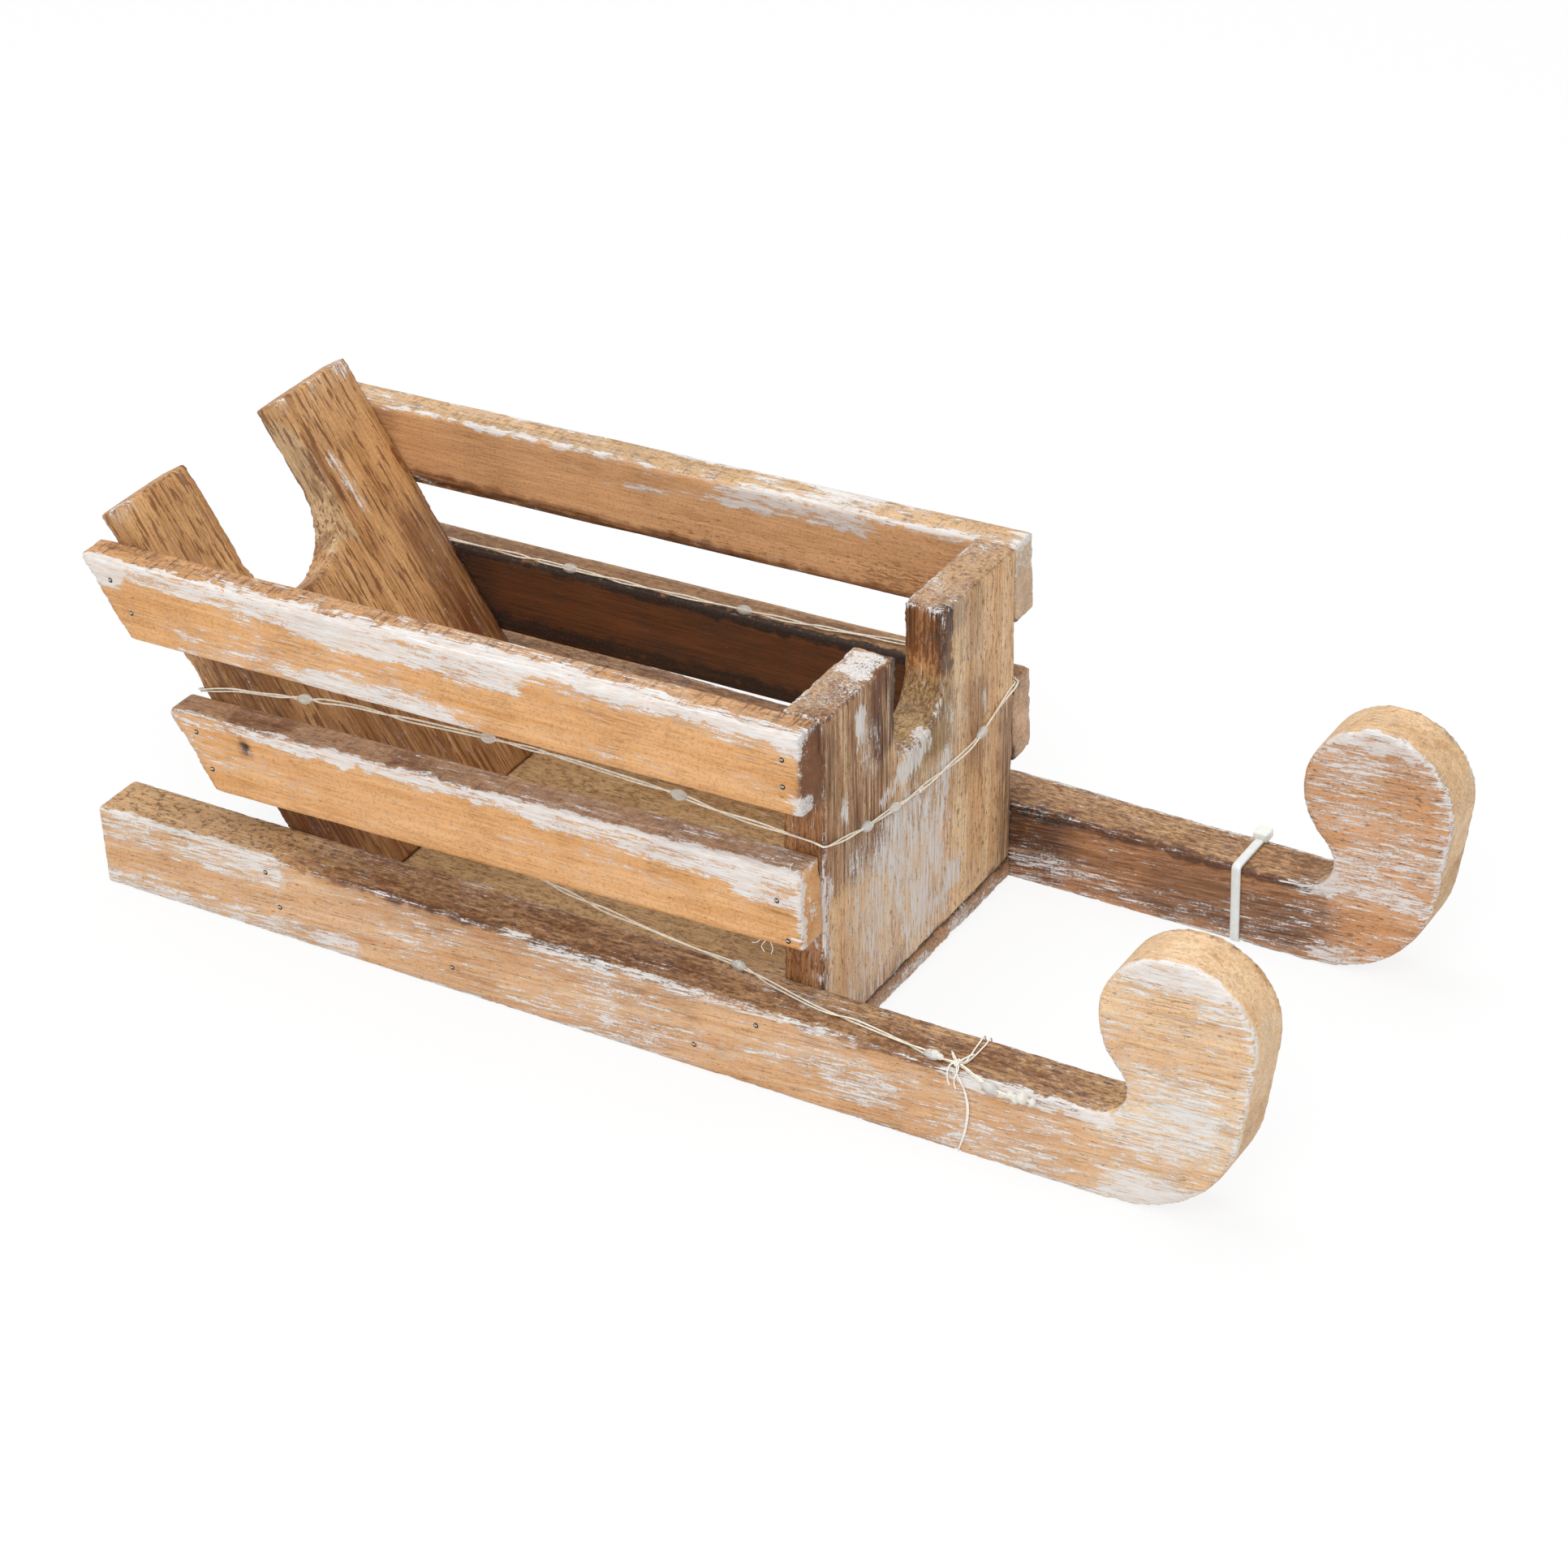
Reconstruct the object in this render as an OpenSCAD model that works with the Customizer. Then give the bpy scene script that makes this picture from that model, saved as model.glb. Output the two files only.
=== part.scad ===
// Small wooden decorative sled: a slatted crate on two curled runners, trimmed with a wire light string.
// Millimetres. X runs forward to the curls, Y to the left, Z up; the origin is under the middle of the sled.

/* [Overall] */
// Length over a runner, from its back end to the front of its curl
sled_l = 343.6; // [280:0.2:420]
// Clear width between the two runners
inner_w = 100; // [70:1:140]

/* [Runners] */
// Thickness of a runner board
runner_t = 16; // [10:0.5:24]
// Height of the straight part of the right runner
runner_h = 24; // [18:0.5:28]
// How much higher the left runner is at its back end
left_rear_rise = 2.6; // [-3:0.1:3]
// How much lower the left runner is where its curl starts
left_neck_drop = 1.4; // [-3:0.1:3]
// Height of the top of the curl
curl_h = 73.5; // [66:0.5:90]
// Radius of the round head of the curl
curl_r = 20.6; // [16:0.2:24]
// Radius of the toe, from the sole up to the curl
toe_r = 34; // [30:0.5:38]
// Radius of the throat between the top edge and the curl
throat_r = 8.9; // [5:0.1:11]
// How far the toe stays behind the front of the curl
toe_back = 3.1; // [1:0.1:5]

/* [Floor board] */
// Thickness of the floor board
floor_t = 6; // [4:0.5:9]
// Gap between the floor board and the ground
floor_lift = 0.6; // [0:0.1:3]

/* [Front board] */
// Distance from the front of the curls back to the foot of the front board
front_set = 125.5; // [110:0.5:150]
// Thickness of the front board
front_t = 12; // [8:0.5:18]
// Height of the top of the front board over the ground
front_h = 102; // [90:0.5:120]
// Forward lean of the front board in degrees
front_lean = 1.4; // [0:0.1:5]
// Width of its hand notch
front_notch_w = 25; // [16:0.5:40]
// Depth of its hand notch
front_notch_d = 31; // [20:0.5:40]
// Radius of the notch corner on the right
front_notch_r_right = 7.5; // [3:0.5:10]
// Radius of the notch corner on the left
front_notch_r_left = 11.5; // [3:0.5:12]
// Where the middle of that notch is off the middle of the board, to the left
front_notch_y = -1.6; // [-8:0.1:8]

/* [Back board] */
// Distance from the foot of the front board back to the foot of the back board
crate_l = 139.8; // [110:0.1:170]
// Thickness of the back board
back_t = 10; // [8:0.5:16]
// Height of the top of the back board over the ground
back_h = 110.5; // [100:0.5:130]
// Backward lean of the back board in degrees
back_lean = 32.3; // [15:0.1:35]
// Width of its hand notch
back_notch_w = 40.7; // [25:0.5:55]
// Depth of its hand notch along the board
back_notch_d = 46; // [30:0.5:50]
// Radius of the notch corner on the right
back_notch_r_right = 14; // [5:0.5:16]
// Radius of the notch corner on the left
back_notch_r_left = 22; // [5:0.5:24]
// Where the middle of that notch is off the middle of the board, to the left
back_notch_y = -2.2; // [-8:0.1:8]

/* [Slats] */
// Thickness of a slat
slat_t = 10.5; // [6:0.5:14]
// Height of an upper slat
upper_h = 22.8; // [18:0.1:26]
// Height of a lower slat
lower_h = 22.8; // [18:0.1:26]
// Radius of the eased edges of a slat
slat_ease = 1.2; // [0.4:0.1:2.5]
// How far the upper slats run on behind the back board
upper_tail = 3.2; // [0:0.1:8]
// How far the lower slats run on behind the back board
lower_tail = 5.8; // [0:0.1:8]

/* [Ties] */
// Width of the clear strap on the left runner
strap_w = 2.5; // [1.5:0.1:4]
// Thickness of the clear strap
strap_t = 1; // [0.6:0.1:1.6]
// Distance from the front of the curls back to the strap
strap_set = 58.6; // [50:0.5:75]
// Thickness of the thread round the right runner
thread_d = 1; // [0.6:0.1:1.6]
// Distance from the front of the curls back to the thread
thread_set = 79; // [68:0.5:95]

/* [Light string] */
// Thickness of the twin wire
wire_d = 1.1; // [0.8:0.1:1.6]
// Length of the clear drop round a light
drop_l = 5.2; // [4:0.1:7]
// Thickness of the clear drop
drop_d = 3; // [2:0.1:4]

/* [Battery box] */
// Length of the box, across the back board
box_l = 75; // [70:0.5:85]
// Width of the box, along the slope
box_w = 32.4; // [30:0.2:38]
// Depth of the box behind the back board
box_h = 18; // [16:0.5:22]
// Thickness of its clear walls
box_wall = 1.4; // [1:0.1:2]
// Length of its end section with the circuit board
box_end_l = 17.5; // [14:0.5:22]
// Where its middle is off the middle of the back board, to the left
box_y = 9.5; // [0:0.5:12]
// Distance of its middle up the slope from the foot
box_up = 58; // [50:0.5:62]
// Diameter of a cell
cell_d = 14.5; // [13.5:0.1:15]

/* [Hidden] */

// Degrees that one step of a round outline takes
arc_step = 6;
half_w = inner_w / 2;
tip_x = sled_l / 2;

// Foot of each crate board on the ground plane
front_x = tip_x - front_set;
back_x = front_x - crate_l;
floor_top = floor_lift + floor_t;
back_run = back_t / cos(back_lean);

// Centres of the curl's round stretches, in x and z
curl_at = [tip_x - curl_r, curl_h - curl_r];
toe_at = [tip_x - toe_r - toe_back, toe_r];

// Centre of the throat's round stretch over a top edge that ends at a height
function throat_over(h) =
    [curl_at.x - sqrt(pow(throat_r + curl_r, 2) - pow(curl_at.y - h - throat_r, 2)), h + throat_r];

// Height of the left runner's top edge at a distance x from the middle
left_rear_h = runner_h + left_rear_rise;
left_neck_h = runner_h - left_neck_drop;
function left_top(x) =
    left_rear_h + (left_neck_h - left_rear_h) * (x + tip_x) / (throat_over(left_neck_h).x + tip_x);

// The slats, with side, height of the bottom edge at the front, and drop over the length of the crate
SIDE = 0;
BOTTOM = 1;
DROP = 2;
upper_right = [-1, 79.9, 2.3];
lower_right = [-1, 40.8, 3.8];
upper_left = [1, 78.6, 2.5];
lower_left = [1, 38.2, 1.6];

// Route of the light string, with x, y, z and 1 where a light sits; it starts in the battery box
LIGHT = 3;
crate_route = [
    [-144.6, -26.8, 51, 0], [-143.8, -34, 53.4, 0], [-143.2, -42, 57.3, 0], [-143.6, -48.5, 59.2, 0], [-143.5, -50.4, 59.8, 0],
    [-132.8, -50.5, 62.7, 0], [-124, -50.5, 64, 0], [-108.8, -50.5, 66.4, 1], [-94, -50.5, 68.5, 0], [-78.6, -50.5, 69, 0],
    [-50.7, -50.5, 70.6, 1], [-28, -50.5, 71, 0], [-7, -50.5, 70.3, 0], [6.5, -50.5, 69.8, 1], [17.3, -50.5, 68.4, 0],
    [31, -50.5, 67.8, 0], [44.8, -50.5, 67.2, 0], [48.1, -50.4, 66.6, 0], [48.4, -42.7, 64.3, 0], [48.3, -36, 62.6, 0],
    [48.4, -30, 61.3, 1], [48.3, -15.7, 58.9, 1], [48.2, -5.4, 57.2, 0], [48.2, 12.7, 55.7, 0], [48.2, 24, 55.1, 0],
    [48.2, 31, 56.2, 1], [48.2, 44, 59.8, 0], [48.2, 50.1, 61.2, 0], [46.2, 51, 61.6, 0], [30, 54.5, 61.4, 0],
    [11.7, 55.1, 61.2, 0], [-15.4, 52.6, 60.9, 0], [-36.3, 52, 60.6, 1], [-65, 51, 60.3, 0], [-92.4, 51.2, 60, 1],
    [-118.5, 51.2, 59.7, 0], [-143.2, 50.8, 59.4, 0], [-144, 49.6, 59.5, 0], [-144.1, 47, 60, 0], [-144.9, 30, 61.6, 1],
    [-144.6, 5, 61.2, 0]
];
runner_route = [
    [-144.6, 5, 61.2, 0], [-144.6, -20, 61.2, 1], [-143, -33, 58.6, 0], [-137.6, -36.5, 50.2, 0], [-130.2, -41, 38.3, 0],
    [-127, -46.5, 33.3, 0], [-126.9, -50.4, 33.2, 0], [-112, -51.1, 35.2, 0], [-104, -51.2, 36, 1], [-88, -51.2, 36.6, 0],
    [-66, -51.3, 36.8, 0], [-48, -51.4, 35.4, 1], [-34, -51.5, 32, 0], [-22, -51.5, 29.6, 0], [-8.4, -51.5, 27.6, 0],
    [8.8, -51.6, 25.6, 0], [22.9, -52, 24.6, 1], [34.7, -55.2, 24.5, 0], [50.5, -59, 24.5, 0], [62.6, -59.8, 24.5, 0],
    [84.7, -63.4, 24.6, 1], [92.6, -64.1, 24.7, 0], [97.4, -65.9, 24.4, 0], [102.4, -66.6, 22.7, 1], [107, -66.6, 21.9, 0],
    [111, -66.6, 22.2, 0]
];

wood = "#c99a63";
wood_pale = "#d9b98a";
wood_dark = "#8a6238";
olive_wood = "#8f7a52";
clear_plastic = "#e4e2dc";
spring_steel = "#b8b6b0";
board_green = "#5f9a78";
part_tan = "#d9cfa4";
switch_black = "#26262a";
thread_white = "#ece8df";

// Points of an arc round a centre, from one angle to another
function arc(centre, radius, from, to) =
    let (steps = max(2, ceil(abs(to - from) / arc_step)))
    [for (i = [0:steps])
        let (a = from + (to - from) * i / steps)
        centre + radius * [cos(a), sin(a)]];

// Outline of a board's section with eased corners, from one corner
function eased(w, h, r) = concat(
    arc([w - r, r], r, -90, 0),
    arc([w - r, h - r], r, 0, 90),
    arc([r, h - r], r, 90, 180),
    arc([r, r], r, 180, 270));

// Side view of a runner: sole, toe, curl, throat and top edge
function runner_outline(rear_h, neck_h) =
    let (
        throat_at = throat_over(neck_h),
        across = curl_at - toe_at,
        tangent = atan2(across.y, across.x) - acos((toe_r - curl_r) / norm(across)),
        neck = atan2(throat_at.y - curl_at.y, throat_at.x - curl_at.x) + 360
    )
    concat(
        [[-tip_x, 0]],
        arc(toe_at, toe_r, -90, tangent),
        arc(curl_at, curl_r, tangent, neck),
        arc(throat_at, throat_r, neck - 180, -90),
        [[-tip_x, rear_h]]);

// Front view of a board with a round-bottomed notch in its top edge
function notched_outline(w, h, notch_w, notch_d, r_right, r_left, notch_mid) =
    let (right = notch_mid - notch_w / 2, left = notch_mid + notch_w / 2)
    concat(
        [[-w / 2, 0], [w / 2, 0], [w / 2, h], [left, h]],
        arc([left - r_left, h - notch_d + r_left], r_left, 0, -90),
        arc([right + r_right, h - notch_d + r_right], r_right, -90, -180),
        [[right, h], [-w / 2, h]]);

// Lays a drawing of x and z upright, thick towards +Y
module upright(thick) {
    translate([0, thick, 0])
        rotate([90, 0, 0])
            linear_extrude(thick)
                children();
}

// Stands a drawing of y and z across the sled, thick towards the back
module across(thick) {
    rotate([90, 0, 90])
        translate([0, 0, -thick])
            linear_extrude(thick)
                children();
}

// A runner, with a groove across its sole that the tie round it lies in
module runner(side, rear_h, neck_h, tie_set, tie_w, tie_t) {
    translate([0, side > 0 ? half_w : -half_w - runner_t, 0])
        difference() {
            upright(runner_t)
                polygon(runner_outline(rear_h, neck_h));
            translate([tip_x - tie_set - tie_w / 2, -runner_t, -tie_t])
                cube([tie_w, 3 * runner_t, 2 * tie_t]);
        }
}

module runner_right() {
    color(wood) runner(-1, runner_h, runner_h, thread_set, thread_d, thread_d);
}

module runner_left() {
    color(wood) runner(1, left_rear_h, left_neck_h, strap_set, strap_w, strap_t);
}

module floor_board() {
    color(olive_wood)
        translate([back_x - floor_top * tan(back_lean) - back_run, -half_w, floor_lift])
            cube([front_x - back_x + floor_top * tan(back_lean) + back_run, inner_w, floor_t]);
}

// The front board stands on the floor board and leans forward a little
module front_board() {
    foot = floor_top;
    color(wood)
        intersection() {
            translate([front_x + foot * tan(front_lean), 0, foot])
                rotate([0, front_lean, 0])
                    translate([0, 0, -foot])
                        across(front_t)
                            polygon(notched_outline(inner_w, front_h, front_notch_w, front_notch_d,
                                front_notch_r_right, front_notch_r_left, front_notch_y));
            translate([-sled_l, -inner_w, foot])
                cube([2 * sled_l, 2 * inner_w, 2 * front_h]);
        }
}

// The back board is cut level at its foot and square at its top
module back_board() {
    color(wood_dark)
        intersection() {
            translate([back_x, 0, 0])
                rotate([0, -back_lean, 0])
                    across(back_t)
                        polygon(notched_outline(inner_w, back_h / cos(back_lean), back_notch_w, back_notch_d,
                            back_notch_r_right, back_notch_r_left, back_notch_y));
            translate([-sled_l, -inner_w, floor_top])
                cube([2 * sled_l, 2 * inner_w, 2 * back_h]);
        }
}

// A slat lies flat on the side edges of both boards, its back end cut on the slope of the back board
module slat(place, h, tail) {
    side = place[SIDE];
    bottom = place[BOTTOM];
    tilt = atan2(place[DROP], crate_l);
    reach = back_x - back_run - tail;
    intersection() {
        translate([front_x + bottom * tan(front_lean), side > 0 ? half_w : -half_w - slat_t, bottom])
            rotate([0, -tilt, 0])
                rotate([90, 0, 90])
                    translate([0, 0, -2 * crate_l])
                        linear_extrude(2 * crate_l)
                            polygon(eased(slat_t, h, slat_ease));
        in_front_of_slope(reach);
    }
}

// Everything in front of the slope on which the back ends of the slats are cut
module in_front_of_slope(reach) {
    high = 2 * back_h;
    translate([0, -inner_w, 0])
        upright(2 * inner_w)
            polygon([[reach, 0], [tip_x, 0], [tip_x, high], [reach - high * tan(back_lean), high]]);
}

module slat_upper_right() {
    color(wood_pale) slat(upper_right, upper_h, upper_tail);
}

module slat_lower_right() {
    color(wood_pale) slat(lower_right, lower_h, lower_tail);
}

module slat_upper_left() {
    color(wood_pale) slat(upper_left, upper_h, upper_tail);
}

module slat_lower_left() {
    color(wood_pale) slat(lower_left, lower_h, lower_tail);
}

// A band drawn tight round a runner, let into its sole so that the sole stands on the ground
module band(side, high, wide, thick) {
    translate([0, side * (half_w + runner_t / 2), 0])
        difference() {
            translate([-wide / 2, -runner_t / 2 - thick, 0])
                cube([wide, runner_t + 2 * thick, high + thick]);
            translate([-wide, -runner_t / 2, thick])
                cube([2 * wide, runner_t, high - thick]);
        }
}

// The strap's head sits over the outer top edge, with the cut end of the strap on its far side
module strap_left() {
    head = [4.4, 4.6, 3];
    outer = half_w + runner_t;
    high = left_top(tip_x - strap_set);
    color(clear_plastic)
        translate([tip_x - strap_set, 0, 0]) {
            band(1, high, strap_w, strap_t);
            difference() {
                translate([-head.x / 2, outer + strap_t + 1.1 - head.y, high])
                    cube(head);
                translate([-strap_w / 2, outer - 2, high + 1.6])
                    cube([strap_w, 2 * head.y, 0.9]);
            }
        }
}

// The thread ends in a knot on the outer top edge, with two short tails
module thread_right() {
    knot = [0, -half_w - runner_t + 1.2, runner_h + thread_d];
    color(thread_white)
        translate([tip_x - thread_set, 0, 0]) {
            band(-1, runner_h, thread_d, thread_d);
            translate(knot)
                rotate_extrude()
                    polygon(concat([[0, -1]], arc([0.4, 0], 1, -90, 90), [[0, 1]]));
            for (lean = [-24, 20])
                translate(knot)
                    rotate([lean, lean, 0])
                        translate([0, 0, 0.2])
                            cylinder(d = thread_d * 0.7, h = 3.4);
        }
}

function unit(v) = v / norm(v);
function spot(row) = [row.x, row.y, row.z];

// Direction of a route at one of its rows
function heading(route, i) =
    unit(spot(route[min(i + 1, len(route) - 1)]) - spot(route[max(i - 1, 0)]));

// Eight points round a route at one of its rows
function ring(route, i, radius) =
    let (
        ahead = heading(route, i),
        side = unit(cross(ahead, [0.3, 0.2, 1])),
        over = cross(side, ahead)
    )
    [for (k = [0:7]) spot(route[i]) + radius * (cos(45 * k) * side + sin(45 * k) * over)];

// A round wire along a route
module wire(route, d) {
    last = len(route) - 1;
    polyhedron(
        points = [for (i = [0:last]) each ring(route, i, d / 2)],
        faces = concat(
            [[for (k = [7:-1:0]) k]],
            [for (i = [0:last - 1], k = [0:7]) [8 * i + k, 8 * i + (k + 1) % 8, 8 * i + 8 + k]],
            [for (i = [0:last - 1], k = [0:7]) [8 * i + (k + 1) % 8, 8 * i + 8 + (k + 1) % 8, 8 * i + 8 + k]],
            [[for (k = [0:7]) 8 * last + k]]));
}

// Lays a piece that stands along Z on to a direction
module aim(way) {
    rotate([0, acos(way.z), atan2(way.y, way.x)])
        children();
}

// A light in its clear drop, pointed at one end
module drop() {
    half = drop_l / 2;
    wide = drop_d / 2;
    rotate_extrude()
        polygon([[0, -half], [0.45 * wide, -0.86 * half], [0.85 * wide, -0.5 * half], [wide, 0],
            [0.9 * wide, 0.4 * half], [0.5 * wide, 0.82 * half], [0, half]]);
}

// A stretch of the string with its lights moulded on
module light_string(route) {
    wire(route, wire_d);
    for (i = [0:len(route) - 1])
        if (route[i][LIGHT] == 1)
            translate(spot(route[i]))
                aim(heading(route, i))
                    drop();
}

// Room that the boards and runners take, which the string doesn't enter
module wood_room() {
    runner_right();
    front_board();
    back_board();
    slat_lower_right();
    slat_lower_left();
}

module light_wire_crate() {
    color(thread_white)
        difference() {
            light_string(crate_route);
            wood_room();
        }
}

module light_wire_runner() {
    color(thread_white)
        difference() {
            light_string(runner_route);
            wood_room();
        }
}

// Hardened glue that holds the string's end on the right runner
module glue_blob() {
    color(thread_white)
        difference() {
            hull() {
                for (at = [[108, 22.6, 1.1], [111.5, 22.8, 1.7], [114, 22.2, 1]])
                    translate([at.x, -half_w - runner_t, at.y])
                        sphere(r = at.z, $fn = 16);
            }
            runner_right();
            light_string(runner_route);
        }
}

// Puts a piece on the rear face of the back board, with X up the slope, Y to the left and Z away from the board
module on_back() {
    translate([back_x, 0, 0])
        rotate([0, -back_lean, 0])
            translate([-back_t, box_y, box_up])
                rotate([0, -90, 0])
                    children();
}

// A flat block with rounded upright corners, from its middle
module rounded(w, l, h, r) {
    linear_extrude(h)
        polygon(concat(
            arc([w / 2 - r, l / 2 - r], r, 0, 90), arc([r - w / 2, l / 2 - r], r, 90, 180),
            arc([r - w / 2, r - l / 2], r, 180, 270), arc([w / 2 - r, r - l / 2], r, 270, 360)));
}

box_r = 2.4;
lid_t = 2;
case_h = box_h - lid_t;
split_y = box_end_l - box_l / 2;
post_y = split_y - 5.2;
bay_l = box_l - box_end_l - 2 * box_wall;
bay_y = split_y + box_wall + bay_l / 2;
contact_t = 0.4;
cell_x = (box_w - 2 * box_wall) / 4;
wire_hole = [12.4, 6];
through_l = box_l / 2 + 2 * box_wall;

// The tray with its two cell bays, the end section, the cell saddles and the screw post
module battery_case() {
    inner_w = box_w - 2 * box_wall;
    color(clear_plastic)
        on_back() {
            difference() {
                rounded(box_w, box_l, case_h, box_r);
                translate([-inner_w / 2, split_y + box_wall, box_wall])
                    cube([inner_w, bay_l, box_h]);
                translate([-inner_w / 2, box_wall - box_l / 2, box_wall])
                    cube([inner_w, box_end_l - box_wall, box_h]);
                translate([wire_hole.x - wire_d / 2, -box_l, wire_hole.y - wire_d / 2])
                    cube([wire_d, through_l, wire_d]);
                translate([-3, -box_l, 8])
                    cube([6, through_l, 3]);
            }
            for (y = [-15, 15])
                translate([0, bay_y + y - box_wall / 2, box_wall])
                    rotate([90, 0, 180])
                        linear_extrude(box_wall)
                            difference() {
                                translate([-inner_w / 2, 0])
                                    square([inner_w, 6]);
                                for (x = [-cell_x, cell_x])
                                    translate([x, cell_d / 2 + 0.4])
                                        circle(d = cell_d + 0.4);
                            }
            translate([-box_wall / 2, split_y + box_wall, box_wall])
                cube([box_wall, bay_l, 4.5]);
            translate([0, post_y, box_wall])
                difference() {
                    cylinder(d = 5.2, h = case_h - box_wall);
                    translate([0, 0, 4])
                        cylinder(d = 2, h = case_h);
                }
        }
}

// The cover over the cells, with thumb ridges
module battery_lid() {
    long = box_l / 2 - split_y - 0.3;
    color(clear_plastic)
        on_back()
            translate([0, box_l / 2 - long / 2, case_h]) {
                difference() {
                    rounded(box_w, long, lid_t, box_r);
                    translate([0, 0, -box_wall / 2])
                        rounded(box_w - 4 * box_wall, long - 4 * box_wall, box_wall, 1);
                }
                for (y = [0:3])
                    translate([-5, long / 2 - 6 - 2 * y, lid_t])
                        cube([10, 0.8, 0.4]);
            }
}

// The fixed cover over the circuit board, with the head of the screw sunk in it
module battery_end_cover() {
    long = box_end_l;
    color(clear_plastic)
        on_back()
            translate([0, long / 2 - box_l / 2, case_h])
                difference() {
                    rounded(box_w, long, lid_t, box_r);
                    translate([0, post_y - long / 2 + box_l / 2, 0.8])
                        cylinder(d = 4.4, h = lid_t);
                }
}

// One turn of a spring every pitch, narrowing towards its tip
function spring_route(turns, r_foot, r_tip, pitch) =
    [for (i = [0:turns * 10])
        let (share = i / (turns * 10), r = r_foot + (r_tip - r_foot) * share)
        [r * cos(36 * i), pitch * i / 10, r * sin(36 * i), 0]];

// Plates at both ends of the bays, with a spring at one end of each cell
module battery_contacts() {
    near_y = split_y + box_wall;
    far_y = box_l / 2 - box_wall;
    cell_z = box_wall + cell_d / 2;
    color(spring_steel)
        on_back() {
            for (x = [-cell_x, cell_x], y = [near_y, far_y - contact_t])
                translate([x - 5, y, box_wall])
                    cube([10, contact_t, 11]);
            translate([cell_x, near_y + contact_t + 0.3, cell_z])
                wire(spring_route(4, 3.6, 2.6, 1.7), 0.7);
            translate([-cell_x, far_y - contact_t - 0.3, cell_z])
                mirror([0, 1, 0])
                    wire(spring_route(4, 3.6, 2.6, 1.7), 0.7);
        }
}

module circuit_board() {
    color(board_green)
        on_back()
            translate([-12, 2 * box_wall - box_l / 2, 5])
                difference() {
                    cube([24, box_end_l - 3 * box_wall, 1.2]);
                    translate([12, post_y + box_l / 2 - 2 * box_wall, -1])
                        cylinder(d = 5.2, h = 4);
                }
}

// Timing crystal and capacitor on the circuit board
module circuit_parts() {
    color(part_tan)
        on_back() {
            translate([-11, 2 * box_wall - box_l / 2 + 0.6, 6.2])
                cube([10.5, 3.8, 3.6]);
            translate([-10, post_y - 0.4, 6.2])
                cube([7, 1.8, 1.8]);
        }
}

// The switch sits on the circuit board and its ribbed knob stands out through the end wall
module slide_switch() {
    color(switch_black)
        on_back()
            translate([0, -box_l / 2, 0]) {
                translate([-0.2, 2 * box_wall, 6.2])
                    cube([4.2, 3.6, 4]);
                translate([-1, -2.4, 8.6])
                    cube([2, 2 * box_wall + 2.6, 1.8]);
                for (z = [0, 0.75, 1.5])
                    translate([-1, -2.4, 8.5 + z])
                        cube([2, 1.6, 0.4]);
            }
}

runner_right();
runner_left();
floor_board();
front_board();
back_board();
slat_upper_right();
slat_lower_right();
slat_upper_left();
slat_lower_left();
strap_left();
thread_right();
light_wire_crate();
light_wire_runner();
glue_blob();
battery_case();
battery_lid();
battery_end_cover();
battery_contacts();
circuit_board();
circuit_parts();
slide_switch();
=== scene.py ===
"""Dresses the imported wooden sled: worn, whitewashed boards, brads, ties, light string and battery box."""

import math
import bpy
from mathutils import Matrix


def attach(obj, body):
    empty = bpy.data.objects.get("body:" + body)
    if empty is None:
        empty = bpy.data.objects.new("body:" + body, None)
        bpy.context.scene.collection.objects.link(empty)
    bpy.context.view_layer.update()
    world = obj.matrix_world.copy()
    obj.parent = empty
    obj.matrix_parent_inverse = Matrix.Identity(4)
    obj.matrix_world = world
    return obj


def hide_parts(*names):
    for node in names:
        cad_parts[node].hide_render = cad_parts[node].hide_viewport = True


bl_info = {
    "name": "Whitewashed Table Sled",
    "version": (1, 0, 0),
    "blender": (4, 5, 0),
    "location": "3D View > Sidebar > Sled",
    "description": "Dresses a packed table sled with worn wood, brads, ties and a light string",
    "category": "Add Mesh",
}

import bmesh
import bpy
from bpy.props import FloatProperty, FloatVectorProperty, IntProperty, PointerProperty
from mathutils import Euler, Matrix, Vector, kdtree, noise

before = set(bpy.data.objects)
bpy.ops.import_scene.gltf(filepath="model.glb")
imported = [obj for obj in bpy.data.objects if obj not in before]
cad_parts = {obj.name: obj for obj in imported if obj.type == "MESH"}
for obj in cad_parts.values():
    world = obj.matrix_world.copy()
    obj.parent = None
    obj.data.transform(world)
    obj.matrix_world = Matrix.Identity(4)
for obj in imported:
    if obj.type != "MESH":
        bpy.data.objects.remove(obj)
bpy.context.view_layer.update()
MM = 0.001

# The photograph's camera, worked out from the corners of the boards
CAMERA_PLACE = (498.2 * MM, -799.1 * MM, 619.8 * MM)
CAMERA_AZIMUTH = math.radians(31.62)
CAMERA_ELEVATION = math.radians(31.47)
CAMERA_ROLL = math.radians(-2.17)
CAMERA_LENS = 96.88

# Angles that turn a board's grain on to the X axis
GRAIN_ALONG = (0.0, 0.0, 0.0)
GRAIN_UPRIGHT = (0.0, math.radians(88.6), 0.0)
GRAIN_SLOPE = (0.0, math.radians(-57.7), 0.0)
GRAIN_RUNNER = (0.0, math.radians(4), 0.0)


def tone(code):
    """Linear colour of a six-digit screen colour."""
    parts = [int(code[i:i + 2], 16) / 255 for i in (0, 2, 4)]
    return tuple(p / 12.92 if p <= 0.04045 else ((p + 0.055) / 1.055) ** 2.4 for p in parts)


def opaque(colour):
    return (*colour[:3], 1.0)


def lighter(colour, share):
    """A colour made lighter by a share of itself, or darker where the share is under 0."""
    return tuple(min(1.0, c * (1 + share)) for c in colour)


# Sizes and colours

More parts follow.
